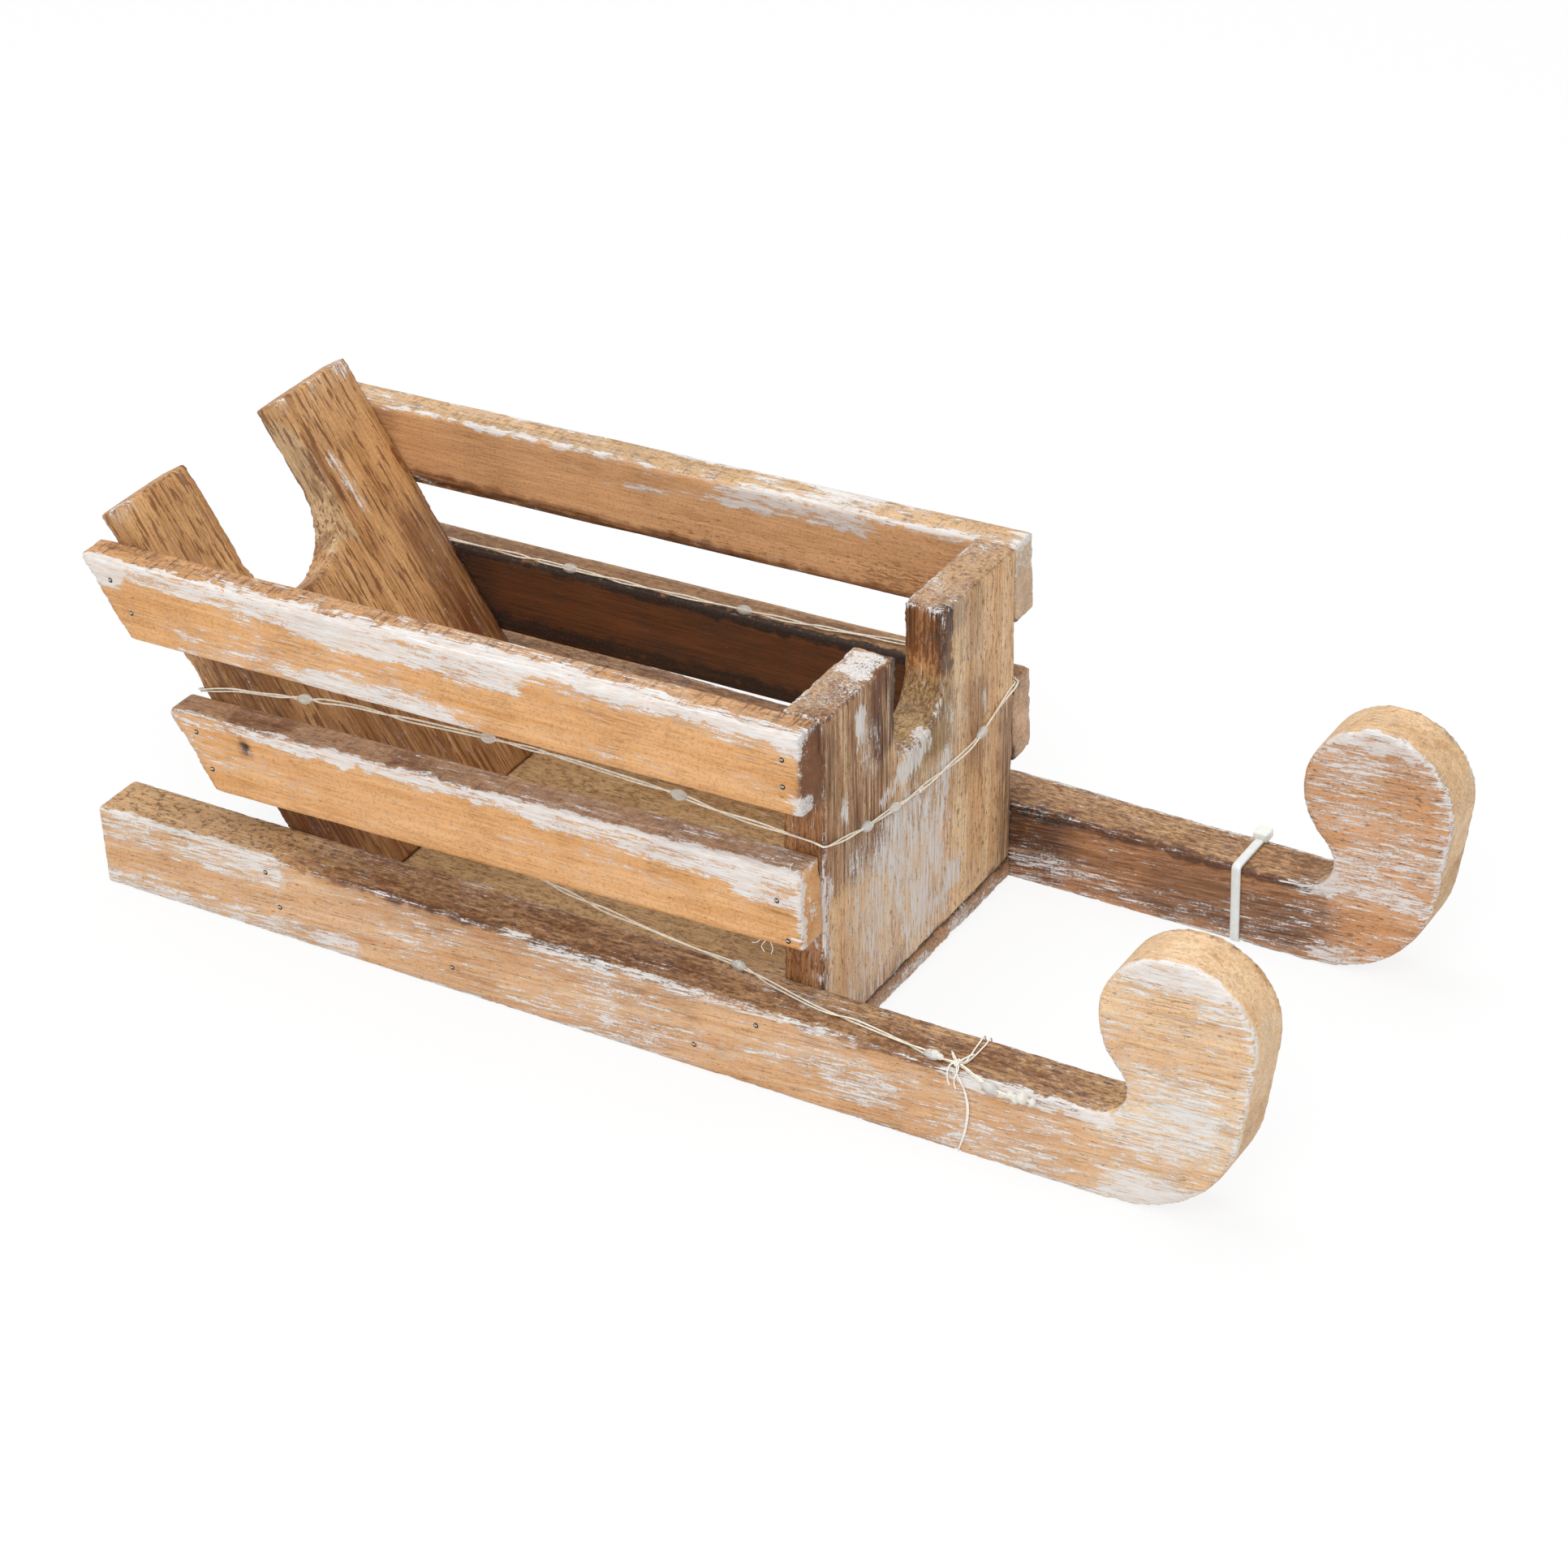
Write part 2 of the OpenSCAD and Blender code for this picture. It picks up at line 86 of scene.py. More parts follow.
class SledSizes(bpy.types.PropertyGroup):
    """Sizes of what is dressed on to the boards"""
    grit: FloatProperty(name="Grit", description="Size of the cells that a board is rebuilt from",
        default=0.0009, min=0.0005, max=0.003, unit="LENGTH")
    chip: FloatProperty(name="Chip Depth", description="Deepest chip along an edge",
        default=0.0006, min=0.0, max=0.002, unit="LENGTH")
    brad: FloatProperty(name="Brad Radius", description="Radius of a brad's head",
        default=0.00062, min=0.0003, max=0.002, unit="LENGTH")
    strand: FloatProperty(name="Strand Radius", description="Radius of one strand of the light wire",
        default=0.00024, min=0.0001, max=0.001, unit="LENGTH")
    strand_gap: FloatProperty(name="Strand Gap", description="Distance between the two strands",
        default=0.0008, min=0.0003, max=0.002, unit="LENGTH")
    drop: FloatProperty(name="Drop Length", description="Length of the clear drop round a light",
        default=0.0052, min=0.003, max=0.01, unit="LENGTH")
    thread: FloatProperty(name="Thread Radius", description="Radius of the cotton thread",
        default=0.00021, min=0.0001, max=0.001, unit="LENGTH")
    fibre: FloatProperty(name="Fibre Radius", description="Radius of a frayed fibre",
        default=0.0001, min=0.00005, max=0.0005, unit="LENGTH")
    seed: IntProperty(name="Seed", description="Start of the wear's random numbers", default=7, min=0)


def colour_choice(label, description, code):
    return FloatVectorProperty(name=label, description=description, default=tone(code),
        subtype="COLOR", min=0.0, max=1.0)


class SledColours(bpy.types.PropertyGroup):
    """Colours of the wood, the paint and the trim"""
    paint: colour_choice("Paint", "Chalky white paint", "E6E4E2")
    honey: colour_choice("Honey", "Pale part of the slats' grain", "E5B27C")
    honey_deep: colour_choice("Deep Honey", "Deep part of the slats' grain", "D29555")
    peach: colour_choice("Peach", "Pale part of the runners' grain", "E0B78C")
    peach_deep: colour_choice("Deep Peach", "Deep part of the runners' grain", "C9935F")
    tan: colour_choice("Tan", "Pale part of the front board's grain", "F2D3A8")
    tan_deep: colour_choice("Deep Tan", "Deep part of the front board's grain", "D5A068")
    brown: colour_choice("Brown", "Pale part of the back board's grain", "D6A56E")
    brown_deep: colour_choice("Deep Brown", "Deep part of the back board's grain", "A87540")
    olive: colour_choice("Olive", "Sanded edges and the floor", "DAB485")
    olive_deep: colour_choice("Deep Olive", "Deep part of the sanded edges", "BB8F5A")
    notch: colour_choice("Notch", "Sanded wood in the front notch", "BD9F6B")
    notch_deep: colour_choice("Deep Notch", "Deep part of the front notch", "8C7449")
    cream: colour_choice("Cream", "Sanded wood in the back notch", "DDBE92")
    cream_deep: colour_choice("Deep Cream", "Deep part of the back notch", "B28E60")
    curl: colour_choice("Curl", "Pale wood of the curls", "F0D3AB")
    curl_deep: colour_choice("Deep Curl", "Deep part of the curls", "DDB183")
    crumb: colour_choice("Crumb", "Dark specks on faces that look up", "54321A")
    crumb_pale: colour_choice("Pale Crumb", "Pale specks on faces that look up", "CFA97C")
    stain: colour_choice("Stain", "Brown stain on top faces", "6F3F18")
    char: colour_choice("Char", "Scorched edges", "241811")
    wire: colour_choice("Wire", "Silvered strands", "F0E9D8")
    chip_light: colour_choice("Light", "Phosphor of the lights", "E8CF4A")
    strap: colour_choice("Strap", "Milky cable tie", "EEEBE4")
    thread: colour_choice("Thread", "Cotton thread", "EFEAE0")
    steel: colour_choice("Steel", "Brad heads and battery contacts", "C4BEB2")
    drop: FloatVectorProperty(name="Drop", description="Clear drops round the lights",
        default=(0.96, 0.95, 0.92), subtype="COLOR", min=0.0, max=1.0)
    resin: colour_choice("Resin", "Hardened glue on the light string", "F0EDE3")
    box: colour_choice("Battery Box", "Clear plastic of the battery box", "F8FAF6")
    board: colour_choice("Circuit Board", "Green of the circuit board", "4E9A76")
    crystal: colour_choice("Crystal", "Timing crystal and capacitor", "CFC07C")
    switch: colour_choice("Switch", "Slide switch", "1C1C20")


# Node maths

def blank_tree(owner):
    """The emptied node tree of a material or a world."""
    owner.use_nodes = True
    owner.node_tree.nodes.clear()
    return owner.node_tree


def add_node(tree, kind, settings, inputs, output=0):
    """Adds a node with its settings and the values or links of its sockets, and gives one output."""
    made = tree.nodes.new(kind)
    for key, value in settings.items():
        setattr(made, key, value)
    for key, value in inputs.items():
        if isinstance(value, bpy.types.NodeSocket):
            tree.links.new(value, made.inputs[key])
        else:
            made.inputs[key].default_value = value
    return made.outputs[output] if made.outputs else made


class Reading:
    """One output of a finish's nodes, worked on with ordinary signs."""

    def __init__(self, finish, socket):
        self.finish = finish
        self.socket = socket

    def __add__(self, other):
        return self.finish.sum("ADD", self, other)

    def __radd__(self, other):
        return self.finish.sum("ADD", other, self)

    def __sub__(self, other):
        return self.finish.sum("SUBTRACT", self, other)

    def __rsub__(self, other):
        return self.finish.sum("SUBTRACT", other, self)

    def __mul__(self, other):
        return self.finish.sum("MULTIPLY", self, other)

    def __rmul__(self, other):
        return self.finish.sum("MULTIPLY", other, self)

    def larger(self, other):
        return self.finish.sum("MAXIMUM", self, other)

    def smaller(self, other):
        return self.finish.sum("MINIMUM", self, other)

    def size(self):
        return self.finish.sum("ABSOLUTE", self, 0.0)

    def step(self, low, high):
        """0 below low, 1 above high and smooth between; high may be under low."""
        if low > high:
            return 1 - self.step(high, low)
        return self.finish.node("MapRange", {"interpolation_type": "SMOOTHSTEP"},
            {"Value": self, "From Min": low, "From Max": high})


class Finish:
    """A material and the nodes that make it."""

    def __init__(self, name):
        self.material = bpy.data.materials.new(name)
        self.tree = blank_tree(self.material)

    def node(self, kind, settings, inputs, output=0):
        values = {key: value.socket if isinstance(value, Reading) else value for key, value in inputs.items()}
        return Reading(self, add_node(self.tree, "ShaderNode" + kind, settings, values, output))

    def sum(self, operation, a, b):
        return self.node("Math", {"operation": operation}, {0: a, 1: b})

    def vector(self, operation, a, b, output=0):
        return self.node("VectorMath", {"operation": operation}, {0: a, 1: b}, output)

    def place(self):
        """The point of the surface in millimetres."""
        return self.vector("MULTIPLY", self.node("TexCoord", {}, {}, "Object"), (1000.0, 1000.0, 1000.0))

    def facing(self, axis):
        """How far the surface faces an axis, from -1 to 1."""
        return self.vector("DOT_PRODUCT", self.node("TexCoord", {}, {}, "Normal"), axis, "Value")

    def turned(self, place, turn):
        return self.node("Mapping", {"vector_type": "POINT"}, {"Vector": place, "Rotation": turn})

    def noise(self, place, waves, detail=3.0, roughness=0.55, distortion=0.0, colour=False):
        """Fractal noise with so many waves to the millimetre along each axis."""
        inputs = {"Vector": self.vector("MULTIPLY", place, waves), "Scale": 1.0, "Detail": detail,
                  "Roughness": roughness, "Distortion": distortion}
        return self.node("TexNoise", {"noise_dimensions": "3D"}, inputs, 1 if colour else 0)

    def mix(self, share, a, b):
        """Colour a where the share is 0 and colour b where it is 1."""
        a, b = (each if isinstance(each, Reading) else opaque(each) for each in (a, b))
        return self.node("Mix", {"data_type": "RGBA", "clamp_factor": True}, {0: share, 6: a, 7: b}, 2)

    def pushed(self, place, way, amount):
        """A place moved along a direction."""
        push = self.node("VectorMath", {"operation": "SCALE"}, {0: way, "Scale": amount})
        return self.vector("ADD", place, push)

    def dab(self, place, centre, half, soft, strength):
        """A soft-edged block of paint or stain; soft is one width or one for each axis."""
        if not isinstance(soft, tuple):
            soft = (soft, min(soft, 1.0) if half[1] < 2 else soft, soft)
        off = self.vector("ABSOLUTE", self.vector("SUBTRACT", place, centre), (0, 0, 0))
        out = self.vector("MAXIMUM", self.vector("SUBTRACT", off, half), (0, 0, 0))
        far = self.vector("LENGTH", self.vector("DIVIDE", out, soft), (0, 0, 0), "Value")
        return self.node("MapRange", {"interpolation_type": "SMOOTHSTEP"},
            {"Value": far, "From Min": 0.0, "From Max": 1.0, "To Min": strength, "To Max": 0.0})

    def dabs(self, place, base, places):
        """The sum of a base and of every dab."""
        total = base
        for row in places:
            total = total + self.dab(place, *row)
        return total

    def close(self, colour, roughness=0.6, height=None, depth=0.0002, strength=0.6, **own):
        """Ends the material in one shader; own are numbers for the shader's own sockets."""
        inputs = {"Base Color": colour, "Roughness": roughness}
        if height is not None:
            bump = {"Strength": strength, "Distance": depth, "Height": height}
            inputs["Normal"] = self.node("Bump", {}, bump)
        for key, value in own.items():
            inputs[key.replace("_", " ")] = value
        shader = self.node("BsdfPrincipled", {}, inputs)
        add_node(self.tree, "ShaderNodeOutputMaterial", {}, {"Surface": shader.socket})
        return self.material


# Painted wood

# Waves of each noise to the millimetre: along the grain and twice across it, or along X, Y and Z
BRUSH_WAVES = (0.075, 0.80, 0.80)
HAIR_WAVES = (0.20, 2.6, 2.6)
PATCH_WAVES = (0.032, 0.10, 0.10)
BAND_WAVES = (0.010, 0.20, 0.20)
FIBRE_WAVES = (0.05, 1.3, 1.3)
PORE_WAVES = (0.11, 2.4, 2.4)
CRACK_WAVES = (0.03, 1.9, 1.9)
VEIN_WAVES = (0.028, 0.85, 0.85)
FLECK_WAVES = (0.34, 1.5, 1.5)
MARK_WAVES = (1.0, 0.14, 0.14)
CRUMB_WAVES = (0.40, 0.70, 0.70)
GRIT_WAVES = (1.3, 1.3, 1.3)
DRIFT_WAVES = (0.16, 0.16, 0.16)
MOTTLE_WAVES = (0.05, 0.05, 0.05)

# How far dabs wander, and how far bristles drag the paint's ends along the grain, in millimetres
DRIFT = 6.0
DRAG = 20.0

# What each board looks like. A dab is its centre, half size and softness in millimetres, and its strength.
# grain, wood, slot: angles of the grain, its pale and deep colours, and the slot of its finish
# face tones and shade: an axis, a colour and a share for the faces that look that way, the darker ones on
# faces turned into the sled partly painted shade; lines is how streaky a tint is
# paint, base_paint, edge_paint, bristle: dabs of white, white everywhere, white along edges, stroke size
# stains, edge_stain, streak, veins, rear: dabs of brown, brown along edges, its streaks and veins, rear ends
# chars: dabs of scorching; olives, sanded: dabs of sanded wood in the notches, and its two colours
# rim, pales: share of sanded wood on faces that don't face Y, and dabs of paler wood on the curls
# pores, flecks, fleck_size, fleck_depth, fleck_dabs: dark dashes of the grain, and where they crowd
# crumbs, marks: specks and saw marks on faces that look up; drop: how far the lower edge is lowered
SLAT = {
    "grain": GRAIN_ALONG, "wood": ("honey", "honey_deep"), "slot": "slat_wood", "flecks": -0.6, "pores": 0.2,
    "edge_paint": 0.42, "edge_stain": 0.35, "base_paint": -0.1, "rear": 0.75}
LOOKS = {
    "slat_upper_right": {**SLAT,
        "marks": 0.75,
        "face_tones_and_shade": [((0, 0, 1), "BC8C5C", 0.8), ((1, 0, 0), "83501F", 0.98), ((0, 1, 0), "C59A6C", 0.6)],
        "paint": [
            ((-128, -60.5, 98), (44, 1.2, 2.4), 2.6, 0.8), ((-68, -60.5, 97), (34, 1.2, 3.2), 3, 0.8),
            ((7, -60.5, 99.6), (42, 1.2, 1.6), 2.6, 0.55), ((-92, -60.5, 79.4), (46, 1.2, 2), 4, 0.52),
            ((-76, -60.5, 81), (20, 1.2, 2.2), 4, 0.36), ((-95, -60.5, 89), (24, 1, 4), 5, 0.3),
            ((0, -60.5, 83.5), (13, 1, 0.6), 2.5, 0.39), ((36, -60.5, 87.4), (9, 1, 0.3), 2, 0.42),
            ((48, -59, 82.3), (1.6, 2.4, 2.2), 2, 1.04), ((-165, -60, 95), (5, 1.5, 2.5), 3, 0.81),
            ((-55, -59.5, 102.4), (125, 2.5, 2), (4, 2, 1.2), 0.55),
            ((-75, -54, 103.4), (80, 4, 2.5), (12, 2, 1.2), 0.4), ((30, -55, 103), (20, 5, 1), 3, 0.16)],
        "stains": [((49, -55, 92), (1.2, 5, 12), 2, 0.6), ((-158, -51.5, 97), (8, 2, 4), 3, 0.5)],
        "chars": [((47.8, -50.5, 100), (1, 1, 6), 2, 0.5)]},
    "slat_lower_right": {**SLAT,
        "marks": 0.35,
        "face_tones_and_shade": [((0, 0, 1), "AD896A", 0.95), ((0, 1, 0), "B98E60", 0.7)],
        "paint": [
            ((-120, -60.5, 57.6), (32, 1, 0.9), 2.4, 0.7), ((-63, -60.5, 59.2), (34, 1, 1.4), 2.6, 0.72),
            ((0, -60.5, 59.8), (32, 1, 2.8), 3.2, 0.77), ((40, -60.5, 59), (10, 1.2, 5), 3, 0.64),
            ((47.5, -60, 50), (0.8, 1.5, 11), 2, 0.98), ((-128, -60.5, 50), (18, 1, 3), 5, 0.23),
            ((-14, -60.5, 50), (24, 1, 1), 5, 0.23), ((48.5, -55, 50), (0.6, 1.6, 1.8), 1, 1.16),
            ((40, -55, 63), (8, 4, 1), 3, 0.46), ((-60, -56, 62.4), (90, 5, 1), (4, 1, 1), 0.3)],
        "stains": [
            ((-120, -55, 60), (8, 3, 1), 4, 0.6), ((-72, -55, 61), (4, 2, 1), 3, 0.6),
            ((-60, -55, 63), (100, 5, 1), 4, 0.3),
            ((-123, -60.4, 52.9), (0.4, 0.6, 0.6), (2.8, 1, 3.6), 0.75)],
        "chars": [
            ((-123, -60.4, 52.9), (0.1, 0.6, 0.3), (1.3, 1, 2), 1),
            ((-118, -56, 62), (0.5, 0.5, 1), (3, 2, 1), 0.8),
            ((-70, -56, 62), (0.5, 0.5, 1), (2.6, 1.6, 1), 0.8)]},
    "slat_upper_left": {**SLAT,
        "marks": 0.3, "fleck_depth": 0.5,
        "face_tones_and_shade": [((0, 0, 1), "C9A67C", 0.85), ((0, -1, 0), "D9A87A", 0.75), ((1, 0, 0), "D3B797", 0.9)],
        "paint": [
            ((-55, 50.2, 100.2), (125, 0.8, 0.6), 1.6, 0.49), ((-18, 50, 96.2), (22, 1, 1.4), 2.4, 0.77),
            ((-40, 50, 94), (14, 1, 0.4), 2, 0.46), ((-64, 50, 91.5), (7, 1, 0.5), 2, 0.46),
            ((-120, 50.3, 98.8), (30, 0.8, 0.5), 1.6, 0.58), ((15, 56, 101), (45, 6, 1.4), (8, 1, 1), 0.34),
            ((-80, 56, 99.5), (80, 6, 2), (8, 1, 1), 0.26), ((48, 56, 98), (1.5, 6, 4), 3, 0.46),
            ((-60, 60.5, 97), (90, 1.2, 3), 3, 0.52), ((10, 60.5, 82), (30, 1.2, 2), 4, 0.41)],
        "stains": [((-60, 50, 78), (120, 1.5, 0.8), 2.4, 0.75), ((-157, 50, 88), (6, 1, 8), 5, 0.3)],
        "chars": [((-90, 50, 77.4), (60, 1, 0.3), 1.2, 0.55)],
        "fleck_dabs": [((-10, 50, 81), (50, 1.5, 3), 7, 0.8), ((20, 50, 88), (14, 1.5, 7), 8, 0.7)]},
    "slat_lower_left": {**SLAT,
        "lines": 0.38, "base_paint": -0.4, "drop": 2,
        # The inner face's dark brown is darker wood with painted shade over it
        "face_tones_and_shade": [((0, 0, 1), "A5805A", 0.95), ((1, 0, 0), "C2A080", 0.9), ((0, -1, 0), "5C3518", 1)],
        "paint": [
            ((-60, 60.5, 58), (100, 1.2, 2.5), 3, 0.58), ((20, 60.5, 44), (30, 1.2, 3), 4, 0.41),
            ((48, 57, 52), (1, 4, 9), 3, 0.34)],
        "stains": [((-50, 54, 60.4), (110, 2, 1.4), 3, 0.35)],
        "chars": [
            ((-50, 50.2, 59.6), (110, 0.8, 1.5), 2, 1.3), ((-50, 50, 38), (110, 0.8, 1.2), 3.5, 1),
            ((-130, 50, 50), (8, 1, 12), 8, 0.6)]},
    "runner_right": {
        "grain": GRAIN_RUNNER, "wood": ("peach", "peach_deep"), "slot": "runner_wood", "pores": 0.34,
        "rear": 0.5, "bristle": (0.1, 1.15, 1.15), "rim": 0.95, "edge_paint": 0.4, "edge_stain": 0.35,
        "base_paint": 0.06, "flecks": -0.15, "crumbs": 0.9,
        "face_tones_and_shade": [((0, 1, 0), "C09468", 0.8)],
        "pales": [
            ((152, -66, 50), (22, 1.5, 26), 8, 0.75), ((150, -66, 16), (14, 1.5, 10), 12, 0.4),
            ((156, -58, 60), (22, 5.5, 22), (4, 2, 4), 0.62)],
        "paint": [
            ((-138, -66, 20), (26, 1, 3.5), 4, 0.49), ((-170, -66, 20), (4, 1, 4), 3, 0.34),
            ((-130, -66, 2.5), (42, 1, 1.6), 3, 0.49), ((-60, -66, 14), (50, 1, 6), 8, 0.11),
            ((12, -66, 22.8), (52, 1.2, 0.6), 1.8, 0.34), ((20, -66, 17), (46, 1, 3), 8, 0.16),
            ((-10, -66, 4), (30, 1, 3), 5, 0.2), ((66, -66, 9), (8, 1, 2), 5, 0.36),
            ((60, -66, 14), (20, 1, 2), 6, 0.2), ((112, -66, 22.8), (22, 1.2, 0.8), 2, 0.72),
            ((120, -66, 10), (28, 1, 7), 9, 0.22), ((150, -66, 16), (10, 1, 10), 8, 0.24),
            ((152, -66, 50), (22, 1, 24), 6, 0.18), ((147, -66, 70), (13, 1.5, 1.5), 5, 0.46),
            ((171.4, -66, 46), (0.8, 1, 14), 1.6, 0.6), ((164, -66, 66), (5, 1, 4), 4, 0.3),
            ((152, -66, 34), (7, 1, 3), 8, 0.32), ((150, -66, 5), (16, 1.2, 3), 4, 0.41)],
        "stains": [
            ((10, -58, 24.2), (110, 8.2, 0.8), (18, 1.6, 1.6), 0.52),
            ((-40, -58, 24.2), (50, 8, 0.8), 14, 0.22), ((100, -58, 24.2), (30, 8, 0.8), 4, 0.2)],
        "chars": [((-45, -65.5, 24), (40, 0.8, 0.5), 1.6, 0.45)],
        "fleck_dabs": [((40, -58, 24.3), (95, 8, 0.8), 3, 0.45)]},
    "runner_left": {
        "grain": GRAIN_RUNNER, "wood": ("peach", "peach_deep"), "slot": "runner_wood", "pores": 0.34,
        "rear": 0.5, "bristle": (0.1, 1.15, 1.15), "rim": 0.95, "edge_paint": 0.4, "edge_stain": 0.45,
        "base_paint": -0.02, "flecks": 0.2, "crumbs": 0.8, "streak": 3, "veins": 0.8,
        "face_tones_and_shade": [((0, -1, 0), "CB8F5C", 0.85)],
        "pales": [((156, 58, 60), (22, 5.5, 22), (4, 2, 4), 0.62), ((152, 50, 50), (22, 1.5, 26), 8, 0.12)],
        "paint": [
            ((152, 50, 52), (24, 1, 26), 7, 0.27), ((142, 50, 60), (7, 1, 10), 9, 0.16),
            ((146, 50, 72), (14, 1.5, 2), 3, 0.46), ((171.2, 50, 48), (1.2, 1, 18), 2, 0.3),
            ((152, 50, 24), (16, 1, 14), 9, 0.2), ((90, 50, 4), (50, 1, 3), 6, 0.26),
            ((54, 50, 6), (6, 1, 5), 6, 0.25), ((134, 50, 25), (5, 2, 3), 3, 0.41),
            ((150, 50, 3), (14, 1, 3), 3, 0.46), ((0, 66, 18), (150, 1.2, 4), 6, 0.41),
            ((150, 66, 50), (22, 1.2, 24), 6, 0.34)],
        "stains": [
            ((85, 49.8, 14), (52, 1.4, 9), 6, 0.62), ((0, 58, 24.6), (135, 8.2, 2.4), 1.6, 0.5),
            ((-60, 49.8, 14), (120, 1.4, 12), 3, 0.5)],
        "chars": [
            ((150, 50, 74), (14, 0.8, 0.8), 2, 0.5), ((88, 50, 22.8), (45, 0.8, 0.9), 2.2, 0.55),
            ((56, 50, 16), (7, 1, 5), 6, 0.5), ((110, 50, 10), (20, 1, 5), 7, 0.35)],
        "fleck_dabs": [((90, 58, 24.3), (45, 8, 1.8), 3, 0.35)]},
    "front_board": {
        "grain": GRAIN_UPRIGHT, "wood": ("tan", "tan_deep"), "slot": "front_wood", "pores": 0.55,
        "bristle": (0.1, 1.1, 1.1), "streak": 3, "veins": 1, "edge_paint": 0.45, "edge_stain": 0.6,
        "base_paint": -0.06, "flecks": 0.12, "crumbs": 0.75,
        "face_tones_and_shade": [((0, 0, 1), "B08A64", 0.8), ((0, -1, 0), "B9763B", 0.7), ((-1, 0, 0), "B08050", 0.8)],
        "paint": [
            ((47.5, -12, 34), (3, 20, 20), 14, 0.46), ((47.5, -6, 50), (3, 14, 6), 8, 0.12),
            ((47, 17, 20), (3, 2.6, 3.2), 3, 0.52), ((47.5, 8, 30), (3, 12, 12), 10, 0.14),
            ((48, -7, 67), (3, 5.5, 1.8), 2.2, 1.39), ((48, 1.5, 69.5), (3, 2, 1.2), 1.8, 1.27),
            ((48, -18, 64.2), (3, 3.4, 0.5), 1.6, 1.1), ((48.6, -32, 92), (2, 1.6, 3.6), 2.4, 1.16),
            ((48.4, -27, 83), (2, 2.5, 6), 3.5, 0.39), ((43, -22, 102), (3.4, 5, 1.5), 2.2, 0.95),
            ((47.5, -48.5, 30), (3, 1.2, 26), 2, 0.49), ((48, 33, 65), (3, 1, 2.4), 2, 0.64),
            ((48, -40, 71), (3, 1.5, 2), 2, 0.87), ((48, 13, 55), (3, 1.5, 6), 3, 0.34),
            ((47, 20, 74), (3, 8, 8), 8, 0.11), ((40, 30, 101.8), (7, 18, 0.8), 1.5, 0.34),
            ((40, -32, 101.8), (7, 18, 0.8), 1.5, 0.36)],
        "stains": [
            ((48.4, -36, 80), (3, 13, 26), 10, 0.56), ((48.6, -19, 90), (2.5, 4.5, 10), 5, 0.75),
            ((48, 24, 92), (2, 5, 8), 7, 0.25), ((47, 47, 30), (3, 3, 26), 5, 0.6),
            ((48, 0, 60), (2, 30, 12), 10, 0.22), ((48, 30, 60), (2, 2, 10), 6, 0.18),
            ((46, -30, 9), (3, 20, 2), 4, 0.3), ((42, 11, 96), (6, 1.5, 5), 5, 0.65),
            ((40, -49.8, 20), (7, 1, 12), 5, 0.4)],
        "chars": [
            ((48.6, 12.8, 93), (1.6, 1.6, 8), 3, 0.85), ((48.6, 18, 98), (1.5, 3, 2), 4, 0.35),
            ((48.4, -14.5, 92), (1.5, 1.4, 9), 3, 0.85), ((46, 0, 6.8), (3, 50, 0.5), 1.2, 0.7),
            ((47.5, 48.5, 22), (2, 1, 14), 2.5, 0.4), ((48.4, -47, 88), (1.5, 1.5, 8), 3, 0.35)],
        "olives": [((42, 4, 72), (7, 9, 8), 6, 0.9)],
        "fleck_dabs": [((42, 11, 86), (6, 2, 12), 5, 0.7), ((40, -50, 40), (7, 1.5, 40), 3, 0.45)]},
    "back_board": {
        "grain": GRAIN_SLOPE, "wood": ("brown", "brown_deep"), "slot": "back_wood", "pores": 0.55,
        "edge_paint": 0.12, "edge_stain": 0.85, "base_paint": -0.12, "flecks": 0.42,
        "fleck_size": (0.11, 0.85, 0.85), "fleck_depth": 0.8, "crumbs": 0.3,
        "sanded": ("cream", "cream_deep"), "streak": 2.6,
        "face_tones_and_shade": [((0, -1, 0), "C79B68", 0.6)],
        "paint": [
            ((-150, 25, 88), (3, 1.2, 4), 2.2, 0.49), ((-146, 27, 81), (3, 1.2, 3), 2.2, 0.46),
            ((-164, 40, 109), (4, 8, 2), 3, 0.41), ((-165, -50, 108), (3, 4, 2), 2, 0.46),
            ((-163, 20, 110), (5, 1, 2), 2, 0.46)],
        "stains": [
            ((-118, 44, 42), (16, 5, 30), 9, 0.6), ((-110, 0, 25), (14, 50, 14), 14, 0.4),
            ((-118, -47, 42), (20, 4, 30), 8, 0.6), ((-140, -20, 66), (8, 10, 8), 14, 0.3),
            ((-150, 20, 86), (3, 1.5, 14), 3, 0.5), ((-150, 11.5, 84), (6, 1.2, 12), 2, 0.45)],
        "chars": [((-100, 49.5, 25), (30, 0.8, 60), 2, 0.35), ((-122, -44, 46), (4, 3, 5), 5, 0.55)],
        "olives": [((-155, 8, 88), (14, 10.8, 14), 1.5, 0.8), ((-155, -12, 88), (14, 10.5, 14), 1.5, 0.8)]},
    "floor_board": {
        "grain": GRAIN_ALONG, "wood": ("olive", "olive_deep"), "slot": "floor_wood", "pores": 0.3,
        "edge_paint": 0.2, "edge_stain": 0.5, "base_paint": -0.12, "flecks": 0.15,
        "face_tones_and_shade": [((1, 0, 0), "BA8C62", 0.9), ((0, 0, 1), "B08F60", 0.7)],
        "paint": [
            ((46, -40, 4), (2, 8, 2), 3, 0.58), ((46, 20, 4), (2, 4, 2), 3, 0.46),
            ((46.5, 0, 1.5), (2, 50, 2), 2, 0.42)],
        "stains": [((46.4, 0, 5), (1.5, 50, 1), 2, 0.25), ((-25, 45, 7), (70, 5, 1), 6, 0.3)],
        "chars": [((46.2, 0, 6.8), (1.5, 50, 0.3), 0.8, 0.6)]},
}


